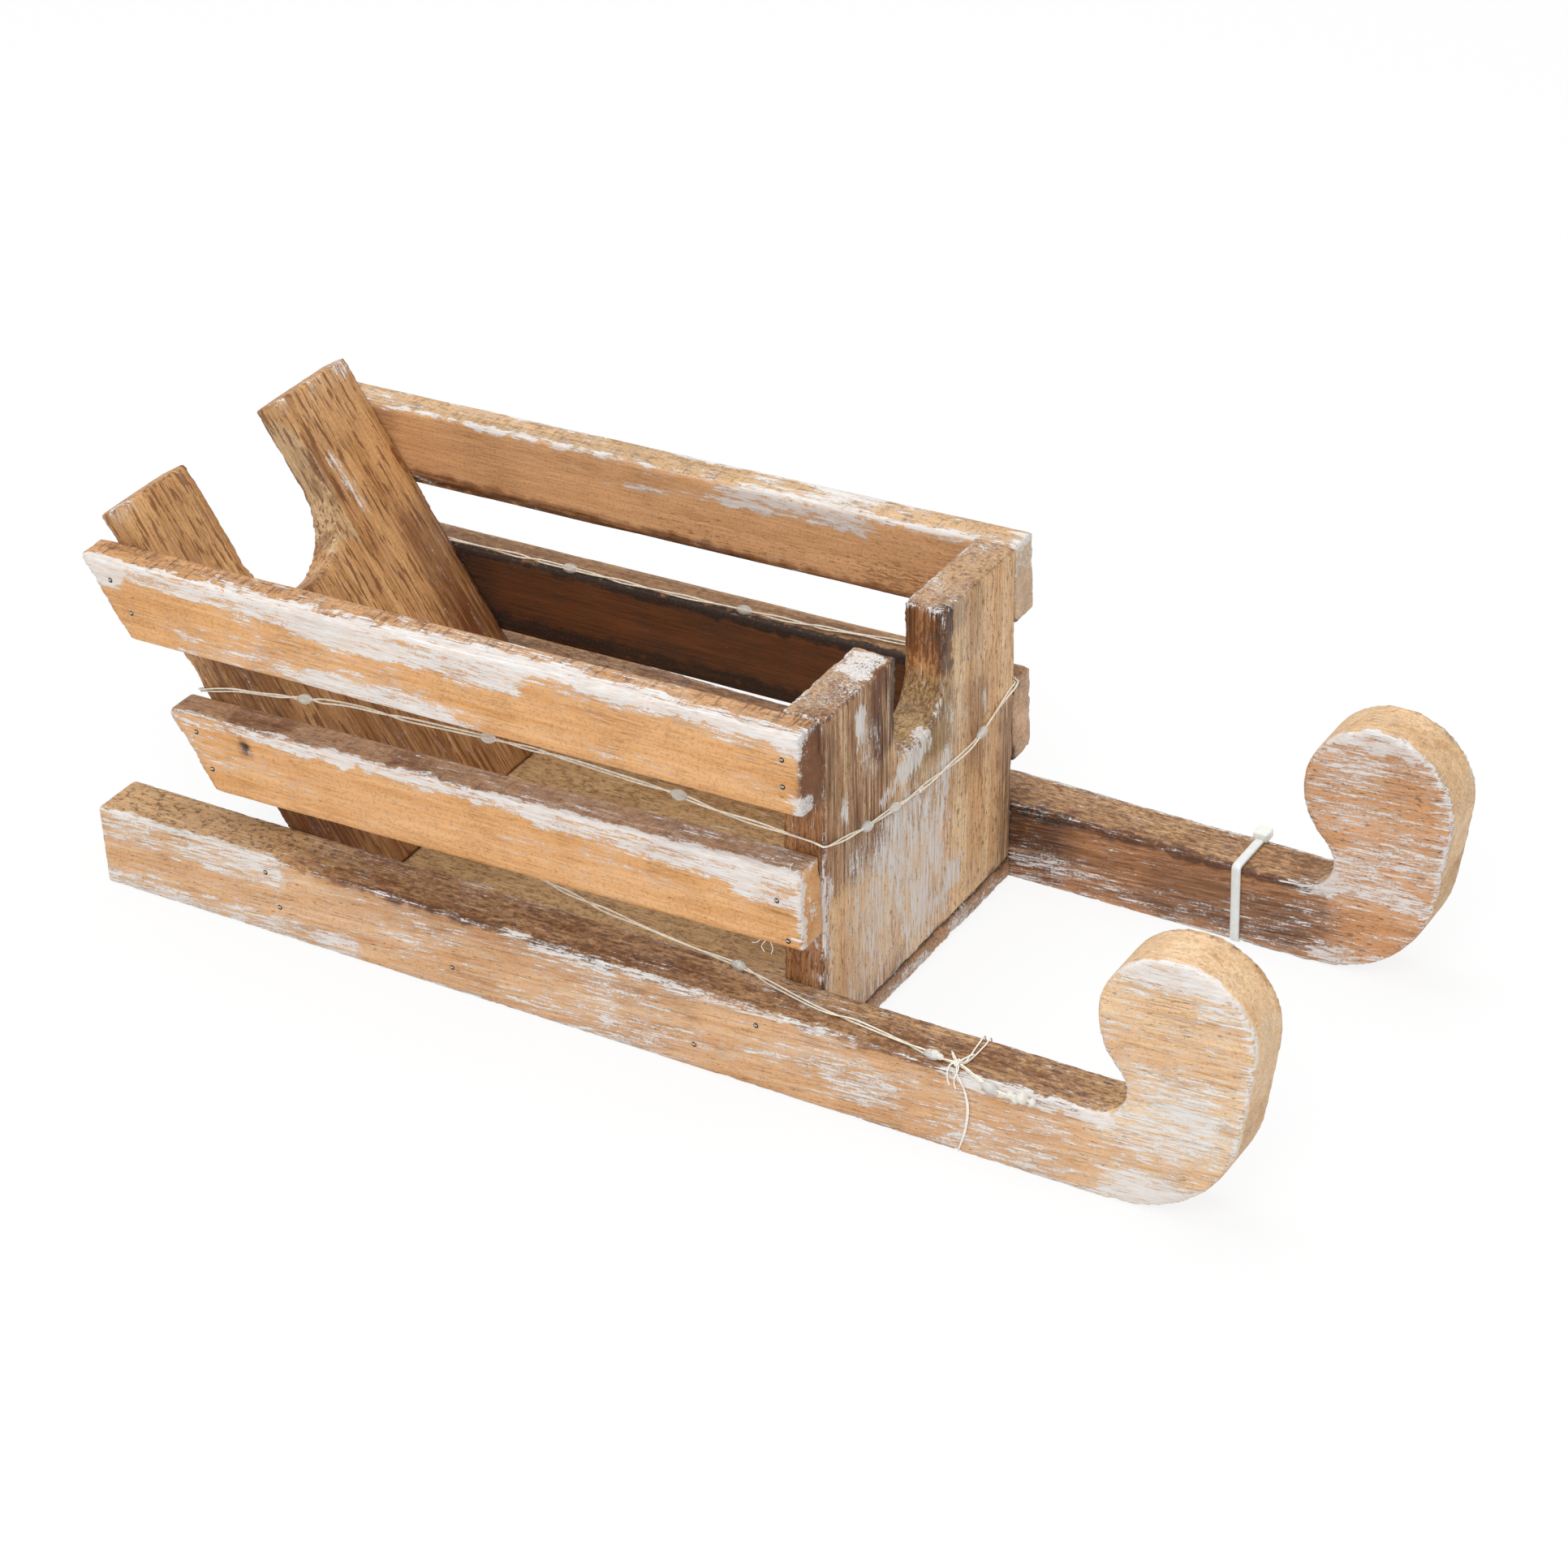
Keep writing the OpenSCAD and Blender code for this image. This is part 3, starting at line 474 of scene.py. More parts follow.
def painted_wood(name, look, colours):
    """Brushed white paint, brown stain and scorched edges over a board's grain."""
    finish = Finish(name)
    place = finish.place()
    grain = finish.turned(place, look["grain"])
    along = Euler(look["grain"]).to_matrix().inverted() @ Vector((1.0, 0.0, 0.0))
    edge = finish.node("Attribute", {"attribute_name": "edge"}, {}, "Fac")
    upward = finish.facing((0, 0, 1))
    rim = finish.facing((0, 1, 0)).size().step(0.85, 0.55)

    # Noises that several layers share
    brush = finish.noise(grain, look.get("bristle", BRUSH_WAVES), 5.0, 0.70, 0.4)
    hair = finish.noise(grain, HAIR_WAVES, 2.0, 0.7)
    grit = finish.noise(place, GRIT_WAVES, 2.0, 0.6)
    patch = finish.noise(grain, PATCH_WAVES, 4.0, 0.6)
    drift = finish.noise(place, DRIFT_WAVES, 3.0, 0.6, colour=True)
    loose = finish.pushed(place, finish.vector("SUBTRACT", drift, (0.5, 0.5, 0.5)), DRIFT)
    streaky = finish.pushed(loose, tuple(along), (brush - 0.5) * DRAG)
    bands = finish.noise(grain, BAND_WAVES, 2.0, 0.5, 0.6)
    fibre = finish.noise(grain, FIBRE_WAVES, 5.0, 0.6)
    pores = finish.noise(grain, PORE_WAVES, 2.0, 0.6)
    mottle = finish.noise(place, MOTTLE_WAVES, 3.0, 0.6)
    crumb = finish.noise(grain, CRUMB_WAVES, 5.0, 0.75)
    share = (bands - 0.5) * 1.9 + (fibre - 0.5) * 2.2 + (mottle - 0.5) * 0.9 + 0.5

    # Bare wood: the grain, then the colours of single faces (darker on faces turned into the sled, partly as
    # painted shade), rear ends, notches and curls
    def grained(keys):
        return finish.mix(share, *(getattr(colours, key) for key in keys))

    colour = grained(look["wood"])
    if "rim" in look:
        colour = finish.mix(rim * look["rim"], colour, grained(("olive", "olive_deep")))
    spread = look.get("lines", 0.16)
    # Each face that looks one way takes its own colour; on faces turned into the sled that colour is darker
    # wood and painted shade together
    for axis, code, amount in look["face_tones_and_shade"]:
        side = finish.facing(axis).step(0.55, 0.85) * amount
        shade = finish.mix(share, lighter(tone(code), spread), lighter(tone(code), spread * -1.2))
        colour = finish.mix(side, colour, shade)
    if "rear" in look:
        rear = finish.facing((-1, 0, 0)).step(0.6, 0.85) * ((fibre - 0.5) * 2.0 + 0.5)
        colour = finish.mix(rear * look["rear"], colour, colours.stain)
    if "olives" in look:
        olive = grained(look.get("sanded", ("notch", "notch_deep")))
        colour = finish.mix(finish.dabs(loose, 0.0, look["olives"]), colour, olive)
    clean = 1.0
    if "pales" in look:
        sanded = finish.dabs(loose, 0.0, look["pales"]).smaller(1.0)
        colour = finish.mix(sanded, colour, grained(("curl", "curl_deep")))
        clean = 1 - rim * sanded

    # Pores and cracks
    lines = pores.step(0.57, 0.66) * clean
    colour = finish.mix(lines * look["pores"], colour, colours.stain)
    cracks = finish.noise(grain, CRACK_WAVES, 2.0, 0.4, 0.5)
    crack = (cracks - 0.5).size().step(0.012, 0.004) * mottle.step(0.50, 0.62)
    colour = finish.mix(crack * 0.55, colour, colours.char)

    # Stain, its veins and scorching
    ragged = edge + (fibre - 0.5) * 3.2
    stain = finish.dabs(loose, 0.0, look["stains"])
    stain = ragged.step(1.5, 0.2) * mottle.step(0.38, 0.60) * look["edge_stain"] + stain
    stain = stain * ((fibre - 0.5) * look.get("streak", 1.8) + (bands - 0.5) * 1.3 + 0.95)
    colour = finish.mix(stain, colour, colours.stain)
    vein = finish.noise(grain, VEIN_WAVES, 3.0, 0.6, 0.8).step(0.54, 0.64)
    colour = finish.mix(vein * stain * look.get("veins", 0.45), colour, colours.char)
    char = finish.dabs(loose, 0.0, look["chars"])
    colour = finish.mix(char * ((fibre - 0.5) * 1.2 + 0.95), colour, colours.char)

    # Flecks, grit, saw marks, and specks on faces that look up
    crowd = finish.dabs(place, look["flecks"], look.get("fleck_dabs", []))
    fleck = finish.noise(grain, look.get("fleck_size", FLECK_WAVES), 3.0, 0.6)
    spot = (fleck + crowd * 0.13).step(0.605, 0.645) * clean
    colour = finish.mix(spot * look.get("fleck_depth", 0.75), colour, colours.stain)
    colour = finish.mix(grit.step(0.50, 0.66) * 0.26, colour, colours.stain)
    if "marks" in look:
        mark = finish.noise(grain, MARK_WAVES, 3.0, 0.65).step(0.54, 0.60)
        colour = finish.mix(mark * upward.step(0.6, 0.9) * look["marks"], colour, colours.stain)
    up = upward.step(0.5, 0.85) * look.get("crumbs", 0.6) * clean
    colour = finish.mix(crumb.step(0.51, 0.60) * up * 0.85, colour, colours.crumb)
    colour = finish.mix(crumb.step(0.47, 0.36) * up * 0.60, colour, colours.crumb_pale)

    # White paint, solid in its dabs and a thin veil round them
    paint = finish.dabs(streaky, look["base_paint"], look["paint"])
    paint = paint + ragged.step(1.7, 0.2) * look["edge_paint"] * mottle.step(0.34, 0.60)
    cover = paint + (brush - 0.5) * 2.2 + (hair - 0.5) * 1.4 + (patch - 0.5) * 1.2 + (grit - 0.5) * 0.9
    solid = cover.step(0.45, 0.57)
    veil = cover.step(0.10, 0.50) * 0.20
    chalk = finish.mix(fibre.step(0.3, 0.7) * 0.6, colours.paint, lighter(colours.paint, -0.16))
    thick = (hair - 0.5) * 1.3 + (brush - 0.5) * 0.9 + 0.80
    colour = finish.mix((solid * thick).larger(veil), colour, chalk)

    raised = fibre * 0.9 + crumb * up * 1.2 + pores * 0.35 + solid * (0.35 + brush * 0.6)
    height = raised - lines * 0.35 - crack * 0.8 - spot * 0.15
    return finish.close(colour, 0.58 + solid * 0.24, height, 0.00035, 0.55)


# Pieces

# Points closer than this are one, faces flatter than this are one, and an edge is sharper than this
SAME_POINT = 0.00001
SAME_FACE = 0.002
SHARP = math.radians(20)
# Distance between the points that mark a board's edges
EDGE_STEP = 0.0005
# How far from an edge the chips reach, and how fast they die away, in millimetres
CHIP_REACH = 3.0
CHIP_FADE = 1.1


def new_object(name, data):
    """An object in the scene."""
    made = bpy.data.objects.new(name, data)
    bpy.context.scene.collection.objects.link(made)
    return made


def mesh_of(work, name, *materials):
    """A mesh of what was built, with its materials; the work is freed."""
    mesh = bpy.data.meshes.new(name)
    work.to_mesh(mesh)
    work.free()
    for material in materials:
        mesh.materials.append(material)
    return mesh


def block(work, size, centre):
    """A box of a size at a centre, as its corners."""
    corners = bmesh.ops.create_cube(work, size=1.0)["verts"]
    bmesh.ops.scale(work, vec=size, verts=corners)
    bmesh.ops.translate(work, vec=centre, verts=corners)
    return corners


def settle(name, mesh, material=None, replaces=()):
    """Puts a finished mesh in the scene as a piece of the sled."""
    piece = new_object(name, mesh)
    if material is not None:
        mesh.materials.clear()
        mesh.materials.append(material)
    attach(piece, "root")
    if replaces:
        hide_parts(*replaces)
    return piece


def baked(piece, name):
    """A plain mesh of an object as its modifiers leave it; the object goes."""
    bpy.context.view_layer.update()
    ready = piece.evaluated_get(bpy.context.evaluated_depsgraph_get())
    mesh = bpy.data.meshes.new_from_object(ready)
    mesh.name = name
    spent = piece.data
    bpy.data.objects.remove(piece)
    if spent.users == 0 and isinstance(spent, bpy.types.Mesh):
        bpy.data.meshes.remove(spent)
    return mesh


def remeshed(mesh, name, cell, smoothing):
    """A mesh rebuilt from cells of a size and smoothed so many times."""
    rough = new_object(name + "_rough", mesh)
    remesh = rough.modifiers.new("cells", "REMESH")
    remesh.mode = "VOXEL"
    remesh.voxel_size = cell
    smooth = rough.modifiers.new("sanded", "SMOOTH")
    smooth.factor = 0.5
    smooth.iterations = smoothing
    return baked(rough, name)


def worn_board(node, sizes, seed, chip_share=1.0, drop=0.0):
    """A copy of a board with softened, chipped edges, which notes how far each point is from an edge.

    drop is how far its lower edge hangs below the plain board's, in millimetres.
    """
    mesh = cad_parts[node].data.copy()
    work = bmesh.new()
    work.from_mesh(mesh)
    bmesh.ops.remove_doubles(work, verts=work.verts, dist=SAME_POINT)
    bmesh.ops.dissolve_limit(work, angle_limit=SAME_FACE, verts=work.verts, edges=work.edges)
    spots = []
    for edge in work.edges:
        if len(edge.link_faces) == 2 and edge.calc_face_angle(0.0) > SHARP:
            a, b = (v.co.copy() for v in edge.verts)
            steps = max(1, int((b - a).length / EDGE_STEP))
            spots += [a.lerp(b, i / steps) for i in range(steps + 1)]
    work.to_mesh(mesh)
    work.free()
    tree = kdtree.KDTree(len(spots))
    for i, spot in enumerate(spots):
        tree.insert(spot, i)
    tree.balance()

    mesh = remeshed(mesh, node + "_worn", sizes.grit, 3)
    distances = []
    offset = Vector((seed * 3.7, seed * 1.3, seed * 2.9))
    normals = [v.normal.copy() for v in mesh.vertices]
    heights = [v.co.z / MM for v in mesh.vertices]
    low, high = min(heights), max(heights)
    for vertex, normal in zip(mesh.vertices, normals):
        near = tree.find(vertex.co)[2] / MM
        distances.append(near)
        at = vertex.co / MM
        wave = noise.noise(at * 0.05 + offset) * 0.10 + noise.noise(at * 0.6 + offset) * 0.035
        wear = 0.0
        if near < CHIP_REACH:
            chips = noise.noise(at * 0.22 + offset) * 0.7 + noise.noise(at * 0.9 + offset) * 0.5
            fade = math.exp(-(near / CHIP_FADE) ** 2)
            wear = max(0.0, chips + 0.05) * fade * sizes.chip / MM * 1.6 * chip_share
        vertex.co += normal * (min(wave, 0.06) - wear) * MM
        vertex.co.z -= drop * MM * (high - at.z) / (high - low)
    attribute = mesh.attributes.new("edge", "FLOAT", "POINT")
    attribute.data.foreach_set("value", distances)
    mesh.shade_smooth()
    return mesh


def dress_boards(context, nodes):
    sizes = context.scene.sled_sizes
    for node in nodes:
        look = LOOKS[node]
        seed = sizes.seed + list(LOOKS).index(node)
        chip_share = 0.5 if node.startswith("runner") else 1.0
        mesh = worn_board(node, sizes, seed, chip_share, look.get("drop", 0.0))
        finish = painted_wood(node + "_finish", look, context.scene.sled_colours)
        settle(node + "_wood", mesh, finish, (node,))


def along_path(points, gap):
    """Points every gap millimetres on a smooth curve through the given ones, all in millimetres."""
    knots = [Vector(p) for p in points]
    knots = [knots[0] * 2 - knots[1]] + knots + [knots[-1] * 2 - knots[-2]]
    dense = []
    for i in range(1, len(knots) - 2):
        a, b, c, d = knots[i - 1:i + 3]
        steps = max(2, int((c - b).length / 0.3))
        for k in range(steps):
            t = k / steps
            dense.append(0.5 * (2 * b + (c - a) * t + (2 * a - 5 * b + 4 * c - d) * t * t
                                + (3 * b - a - 3 * c + d) * t ** 3))
    dense.append(knots[-2])
    path = [dense[0]]
    walked = 0.0
    for before, after in zip(dense, dense[1:]):
        walked += (after - before).length
        if walked >= gap:
            path.append(after)
            walked = 0.0
    if (path[-1] - dense[-1]).length > 0.2 * gap:
        path.append(dense[-1])
    return path


def line_object(name, lines):
    """A curve object with one open line for each list of points in millimetres."""
    curve = bpy.data.curves.new(name, "CURVE")
    curve.dimensions = "3D"
    for line in lines:
        spline = curve.splines.new("POLY")
        spline.points.add(len(line) - 1)
        for point, place in zip(spline.points, line):
            point.co = (*(Vector(place) * MM), 1.0)
    return new_object(name, curve)


def node_group(name, inputs):
    """A Geometry Nodes tree, its named inputs and its end."""
    tree = bpy.data.node_groups.new(name, "GeometryNodeTree")
    tree.interface.new_socket("Geometry", in_out="INPUT", socket_type="NodeSocketGeometry")
    for label, kind in inputs:
        tree.interface.new_socket(label, in_out="INPUT", socket_type=kind)
    tree.interface.new_socket("Geometry", in_out="OUTPUT", socket_type="NodeSocketGeometry")
    return tree, tree.nodes.new("NodeGroupInput").outputs, tree.nodes.new("NodeGroupOutput")


def run_group(holder, tree, values, name):
    """A plain mesh of what a Geometry Nodes tree makes of an object, with its inputs set by their names."""
    modifier = holder.modifiers.new(tree.name, "NODES")
    modifier.node_group = tree
    for item in tree.interface.items_tree:
        if item.item_type == "SOCKET" and item.in_out == "INPUT" and item.name in values:
            modifier[item.identifier] = values[item.name]
    return baked(holder, name)


def swept(name, lines, radius, sides, material):
    """A mesh that sweeps a round section along each line."""
    tree, given, end = node_group(name + "_sweep",
        [("Radius", "NodeSocketFloat"), ("Sides", "NodeSocketInt"), ("Finish", "NodeSocketMaterial")])
    circle = add_node(tree, "GeometryNodeCurvePrimitiveCircle", {},
        {"Radius": given["Radius"], "Resolution": given["Sides"]})
    tube = add_node(tree, "GeometryNodeCurveToMesh", {},
        {"Curve": given["Geometry"], "Profile Curve": circle, "Fill Caps": True})
    tube = add_node(tree, "GeometryNodeSetShadeSmooth", {}, {"Geometry": tube})
    tube = add_node(tree, "GeometryNodeSetMaterial", {}, {"Geometry": tube, "Material": given["Finish"]})
    tree.links.new(tube, end.inputs["Geometry"])
    drawn = line_object(name + "_line", lines)
    return run_group(drawn, tree, {"Radius": radius, "Sides": sides, "Finish": material}, name)


def scattered(name, model, places, size):
    """Copies of a small model at places, each a point in millimetres and a turn; the model goes."""
    tree, given, end = node_group(name + "_places",
        [("Model", "NodeSocketObject"), ("Size", "NodeSocketFloat")])
    shape = add_node(tree, "GeometryNodeObjectInfo", {}, {"Object": given["Model"]}, "Geometry")
    turn = add_node(tree, "GeometryNodeInputNamedAttribute", {"data_type": "FLOAT_VECTOR"},
        {"Name": "turn"}, "Attribute")
    copies = add_node(tree, "GeometryNodeInstanceOnPoints", {},
        {"Points": given["Geometry"], "Instance": shape, "Rotation": turn, "Scale": given["Size"]})
    copies = add_node(tree, "GeometryNodeRealizeInstances", {}, {"Geometry": copies})
    for index, material in enumerate(model.data.materials):
        place = add_node(tree, "GeometryNodeInputMaterialIndex", {}, {})
        same = add_node(tree, "FunctionNodeCompare", {"data_type": "INT", "operation": "EQUAL"},
            {2: place, 3: index})
        copies = add_node(tree, "GeometryNodeSetMaterial", {},
            {"Geometry": copies, "Selection": same, "Material": material})
    tree.links.new(copies, end.inputs["Geometry"])
    cloud = bpy.data.meshes.new(name + "_points")
    cloud.from_pydata([Vector(spot) * MM for spot, _ in places], [], [])
    attribute = cloud.attributes.new("turn", "FLOAT_VECTOR", "POINT")
    attribute.data.foreach_set("vector", [angle for _, turns in places for angle in turns])
    mesh = run_group(new_object(name + "_holder", cloud), tree, {"Model": model, "Size": size}, name)
    bpy.data.objects.remove(model)
    return mesh


def towards(way):
    """Angles that lay a model's Z axis along a way."""
    return tuple(Vector(way).to_track_quat("Z", "X").to_euler())


def lathe(work, outline, sides, index=0):
    """Turns an outline of radius and height round Z, in metres, and closes its poles."""
    rings = []
    for radius, height in outline:
        if radius < 1e-7:
            rings.append([work.verts.new((0, 0, height))])
        else:
            turns = [2 * math.pi * i / sides for i in range(sides)]
            places = [(radius * math.cos(turn), radius * math.sin(turn), height) for turn in turns]
            rings.append([work.verts.new(place) for place in places])
    for low, high in zip(rings, rings[1:]):
        for i in range(sides):
            k = (i + 1) % sides
            corners = [low[i % len(low)], low[k % len(low)], high[k % len(high)], high[i % len(high)]]
            unique = list(dict.fromkeys(corners))
            if len(unique) > 2:
                work.faces.new(unique).material_index = index


# Small things

# Centres of the brads in millimetres, which look away from the sled's middle
BRADS = [
    (43, -60.5, 95.5), (43, -60.5, 87.9), (-161.4, -60.5, 93.6), (-155.6, -60.5, 85.1), (40.1, -60.5, 54.3),
    (42.9, -60.5, 43.2), (-138.4, -60.5, 53.6), (-134.4, -60.5, 43.2), (-115.8, -66, 19.3),
    (-112.2, -66, 9.3), (35.9, -66, 19), (-56.8, -66, 7.4), (17.2, -66, 7.2), (43, 60.5, 94), (43, 60.5, 85),
    (-160, 60.5, 92), (-155, 60.5, 83), (41, 60.5, 55), (42, 60.5, 44), (-138, 60.5, 54), (-133, 60.5, 43),
    (-114, 66, 12), (30, 66, 10),
]

# Frayed fibres at the front end of the lower right slat, in millimetres
FRAYS = [
    [(43.2, -60, 62.6), (44, -61.2, 64.2), (43.4, -61.8, 66)],
    [(45, -60, 62.6), (45.8, -60.8, 64.6), (47, -61, 65.4)],
    [(44.2, -59.6, 62.6), (44, -60, 65), (45.2, -60.6, 66.8)],
    [(36.2, -60, 41.2), (35.4, -61, 39.8), (36.6, -61.6, 38.9)],
    [(37.4, -60, 41.2), (38.6, -60.8, 39.9), (38.4, -61.4, 38.6)],
    [(34.8, -60, 41.2), (33.8, -60.8, 40.2), (33, -61.4, 40.4)],
    [(48.4, -59.4, 57), (49.6, -60.4, 57.6), (50, -61.2, 57.2)],
]

# The light string's route in millimetres, with 1 where a light sits
CRATE_ROUTE = [
    (-144.6, -26.8, 51, 0), (-143.8, -34, 53.4, 0), (-143.2, -42, 57.3, 0), (-143.6, -48.5, 59.2, 0),
    (-143.5, -50.4, 59.8, 0), (-132.8, -50.5, 62.7, 0), (-124, -50.5, 64, 0), (-108.8, -50.5, 66.4, 1),
    (-94, -50.5, 68.5, 0), (-78.6, -50.5, 69, 0), (-50.7, -50.5, 70.6, 1), (-28, -50.5, 71, 0),
    (-7, -50.5, 70.3, 0), (6.5, -50.5, 69.8, 1), (17.3, -50.5, 68.4, 0), (31, -50.5, 67.8, 0),
    (44.8, -50.5, 67.2, 0), (48.1, -50.4, 66.6, 0), (48.4, -42.7, 64.3, 0), (48.3, -36, 62.6, 0),
    (48.4, -30, 61.3, 1), (48.3, -15.7, 58.9, 1), (48.2, -5.4, 57.2, 0), (48.2, 12.7, 55.7, 0),
    (48.2, 24, 55.1, 0), (48.2, 31, 56.2, 1), (48.2, 44, 59.8, 0), (48.2, 50.1, 61.2, 0),
    (46.2, 51, 61.6, 0), (30, 54.5, 61.4, 0), (11.7, 55.1, 61.2, 0), (-15.4, 52.6, 60.9, 0),
    (-36.3, 52, 60.6, 1), (-65, 51, 60.3, 0), (-92.4, 51.2, 60, 1), (-118.5, 51.2, 59.7, 0),
    (-143.2, 50.8, 59.4, 0), (-144, 49.6, 59.5, 0), (-144.1, 47, 60, 0), (-144.9, 30, 61.6, 1),
    (-144.6, 5, 61.2, 0),
]
RUNNER_ROUTE = [
    (-144.6, 5, 61.2, 0), (-144.6, -20, 61.2, 1), (-143, -33, 58.6, 0), (-137.6, -36.5, 50.2, 0),
    (-130.2, -41, 38.3, 0), (-127, -46.5, 33.3, 0), (-126.9, -50.4, 33.2, 0), (-112, -51.1, 35.2, 0),
    (-104, -51.2, 36, 1), (-88, -51.2, 36.6, 0), (-66, -51.3, 36.8, 0), (-48, -51.4, 35.4, 1),
    (-34, -51.5, 32, 0), (-22, -51.5, 29.6, 0), (-8.4, -51.5, 27.6, 0), (8.8, -51.6, 25.6, 0),
    (22.9, -52, 24.6, 1), (34.7, -55.2, 24.5, 0), (50.5, -59, 24.5, 0), (62.6, -59.8, 24.5, 0),
    (84.7, -63.4, 24.6, 1), (92.6, -64.1, 24.7, 0), (97.4, -65.9, 24.4, 0), (102.4, -66.6, 22.7, 1),
    (107, -66.6, 21.9, 0), (111, -66.6, 22.2, 0),
]

# The strap in millimetres: its place along the left runner, its width and thickness, the runner's height
# there, the radius of its bends, how far it is raised off the ground, and the size of its head
STRAP_X = 113.2
STRAP_W = 2.5
STRAP_T = 1.0
STRAP_TOP = 22.8
STRAP_BEND = 1.3
STRAP_LIFT = 0.25
STRAP_HEAD = (4.2, 4.4, 2.6)
# The strap's section, as shares of its width and thickness
STRAP_SECTION = [(0.0, 0.0), (0.12, -0.25), (0.88, -0.25), (1.0, 0.0), (1.0, 0.75), (0.0, 0.75)]

# The back board and the battery box behind it, in millimetres, as in the part's source
BACK_X = -93.5
BACK_T = 10.0
BACK_LEAN = 32.3
BOX_Y = 9.5
BOX_UP = 58.0
SCREW_Y = -25.2
SCREW_DEPTH = 17.0

# Half outlines of small turned things, each a radius and a height: a brad's hole in brad radii, a drop and
# its light in drop lengths, the screw in millimetres
HOLE_OUTLINE = [(0, 0.22), (0.9, 0.20), (1.2, 0.04), (1.2, -0.5), (0, -0.5)]
DROP_OUTLINE = [(0, -0.5), (0.09, -0.45), (0.18, -0.34), (0.25, -0.18), (0.28, 0.0), (0.26, 0.16),
                (0.19, 0.32), (0.10, 0.44), (0, 0.5)]
LIGHT_OUTLINE = [(0, -0.09), (0.07, -0.09), (0.08, 0), (0.07, 0.09), (0, 0.09)]
SCREW_OUTLINE = [(0, -0.9), (1.1, -0.9), (1.1, 0), (2.0, 0.1), (2.0, 0.5), (1.7, 0.8), (0.6, 0.9), (0, 0.9)]

# Lumps of milky glue at the string's end and along it, each a centre and a radius in millimetres, and the
# size in metres of the cells that their skin is made from
GLUE_CELL = 0.00022
GLUE_END = [((108.0, -66.9, 22.6), 1.1), ((111.3, -67.0, 22.9), 1.6), ((114, -66.7, 22.3), 1.0),
            ((109.6, -66.8, 21.9), 1.2)]
MILKY = [
    ((48.7, -30.8, 61.5), 0.9), ((48.8, -29.4, 61.2), 1.1), ((48.7, -28, 61), 0.7),
    ((48.7, -15.7, 58.9), 0.75), ((48.6, -3, 57.1), 0.6), ((48.6, -1.6, 56.9), 0.6), ((84, -63.2, 25), 1),
    ((85.6, -63.5, 25.1), 1.25), ((87.2, -63.7, 25), 0.9), ((22, -51.9, 25), 0.9), ((23.4, -52.2, 25), 1.1),
    ((101.6, -66.6, 22.9), 0.9), ((103, -66.8, 22.6), 1.1),
]


def twin_strands(runs, sizes, seed):
    """Two strands that wind loosely round each run."""
    lines = []
    for number, run in enumerate(runs):
        path = along_path(run, 1.1)
        pair = ([], [])
        for i, at in enumerate(path):
            ahead = (path[min(i + 1, len(path) - 1)] - path[max(i - 1, 0)]).normalized()
            side = ahead.cross(Vector((0.2, 0.1, 1.0))).normalized()
            over = side.cross(ahead)
            loose = noise.noise(at * 0.05 + Vector((seed, number, 0)))
            angle = i * 0.17 + loose * 3.0
            spread = sizes.strand_gap / MM * (0.5 + 0.22 * loose)
            push = (side * math.cos(angle) + over * math.sin(angle)) * spread
            pair[0].append(at + push)
            pair[1].append(at - push)
        lines += pair
    return lines


def lump_mesh(name, lumps, seed):
    """One uneven skin over round lumps, each a centre in millimetres and a radius."""
    work = bmesh.new()
    for centre, radius in lumps:
        ball = bmesh.ops.create_icosphere(work, subdivisions=3, radius=radius * MM)["verts"]
        bmesh.ops.translate(work, vec=Vector(centre) * MM, verts=ball)
    skin = remeshed(mesh_of(work, name + "_balls"), name, GLUE_CELL, 4)
    normals = [v.normal.copy() for v in skin.vertices]
    for vertex, normal in zip(skin.vertices, normals):
        vertex.co += normal * noise.noise(vertex.co / MM * 0.7 + Vector((seed, 0, 0))) * 0.25 * MM
    skin.shade_smooth()
    return skin


def nearest_turn(runs, spot):
    """Angles that lay a model's Z axis along the wire at a spot."""
    best = None
    for run in runs:
        path = along_path(run, 1.0)
        for i in range(1, len(path) - 1):
            off = (path[i] - Vector(spot)).length
            if best is None or off < best[0]:
                best = (off, path[i + 1] - path[i - 1])
    return towards(best[1])


def plain_finish(name, colour, roughness, waves=0.8, spread=0.10, **own):
    """A plain material whose shade and bump wander a little."""
    finish = Finish(name)
    place = finish.place()
    shade = finish.noise(place, (waves,) * 3).step(0.3, 0.7)
    mixed = finish.mix(shade, lighter(colour, -spread), lighter(colour, spread))
    fine = finish.noise(place, (waves * 6,) * 3, 2.0, 0.5)
    return finish.close(mixed, roughness, fine, 0.00008, 0.4, **own)


def board_finish(colours):
    """Green board with copper tracks under the lacquer."""
    finish = Finish("circuit_green")
    place = finish.place()
    cells = finish.node("TexBrick", {"offset": 0.5}, {"Vector": place, "Scale": 0.35, "Mortar Size": 0.03}, 1)
    base = finish.mix(cells, colours.board, lighter(colours.board, -0.4))
    return finish.close(base, 0.35, cells, 0.0001, 0.3)


class SLED_OT_runners(bpy.types.Operator):
    """Rebuild both runners as worn, painted wood"""
    bl_idname = "sled.runners"
    bl_label = "Runners"

    def execute(self, context):
        dress_boards(context, ["runner_right", "runner_left"])
        return {"FINISHED"}


class SLED_OT_crate(bpy.types.Operator):
    """Rebuild the floor and the two notched boards of the crate"""
    bl_idname = "sled.crate"
    bl_label = "Crate Boards"

    def execute(self, context):
        dress_boards(context, ["floor_board", "front_board", "back_board"])
        return {"FINISHED"}


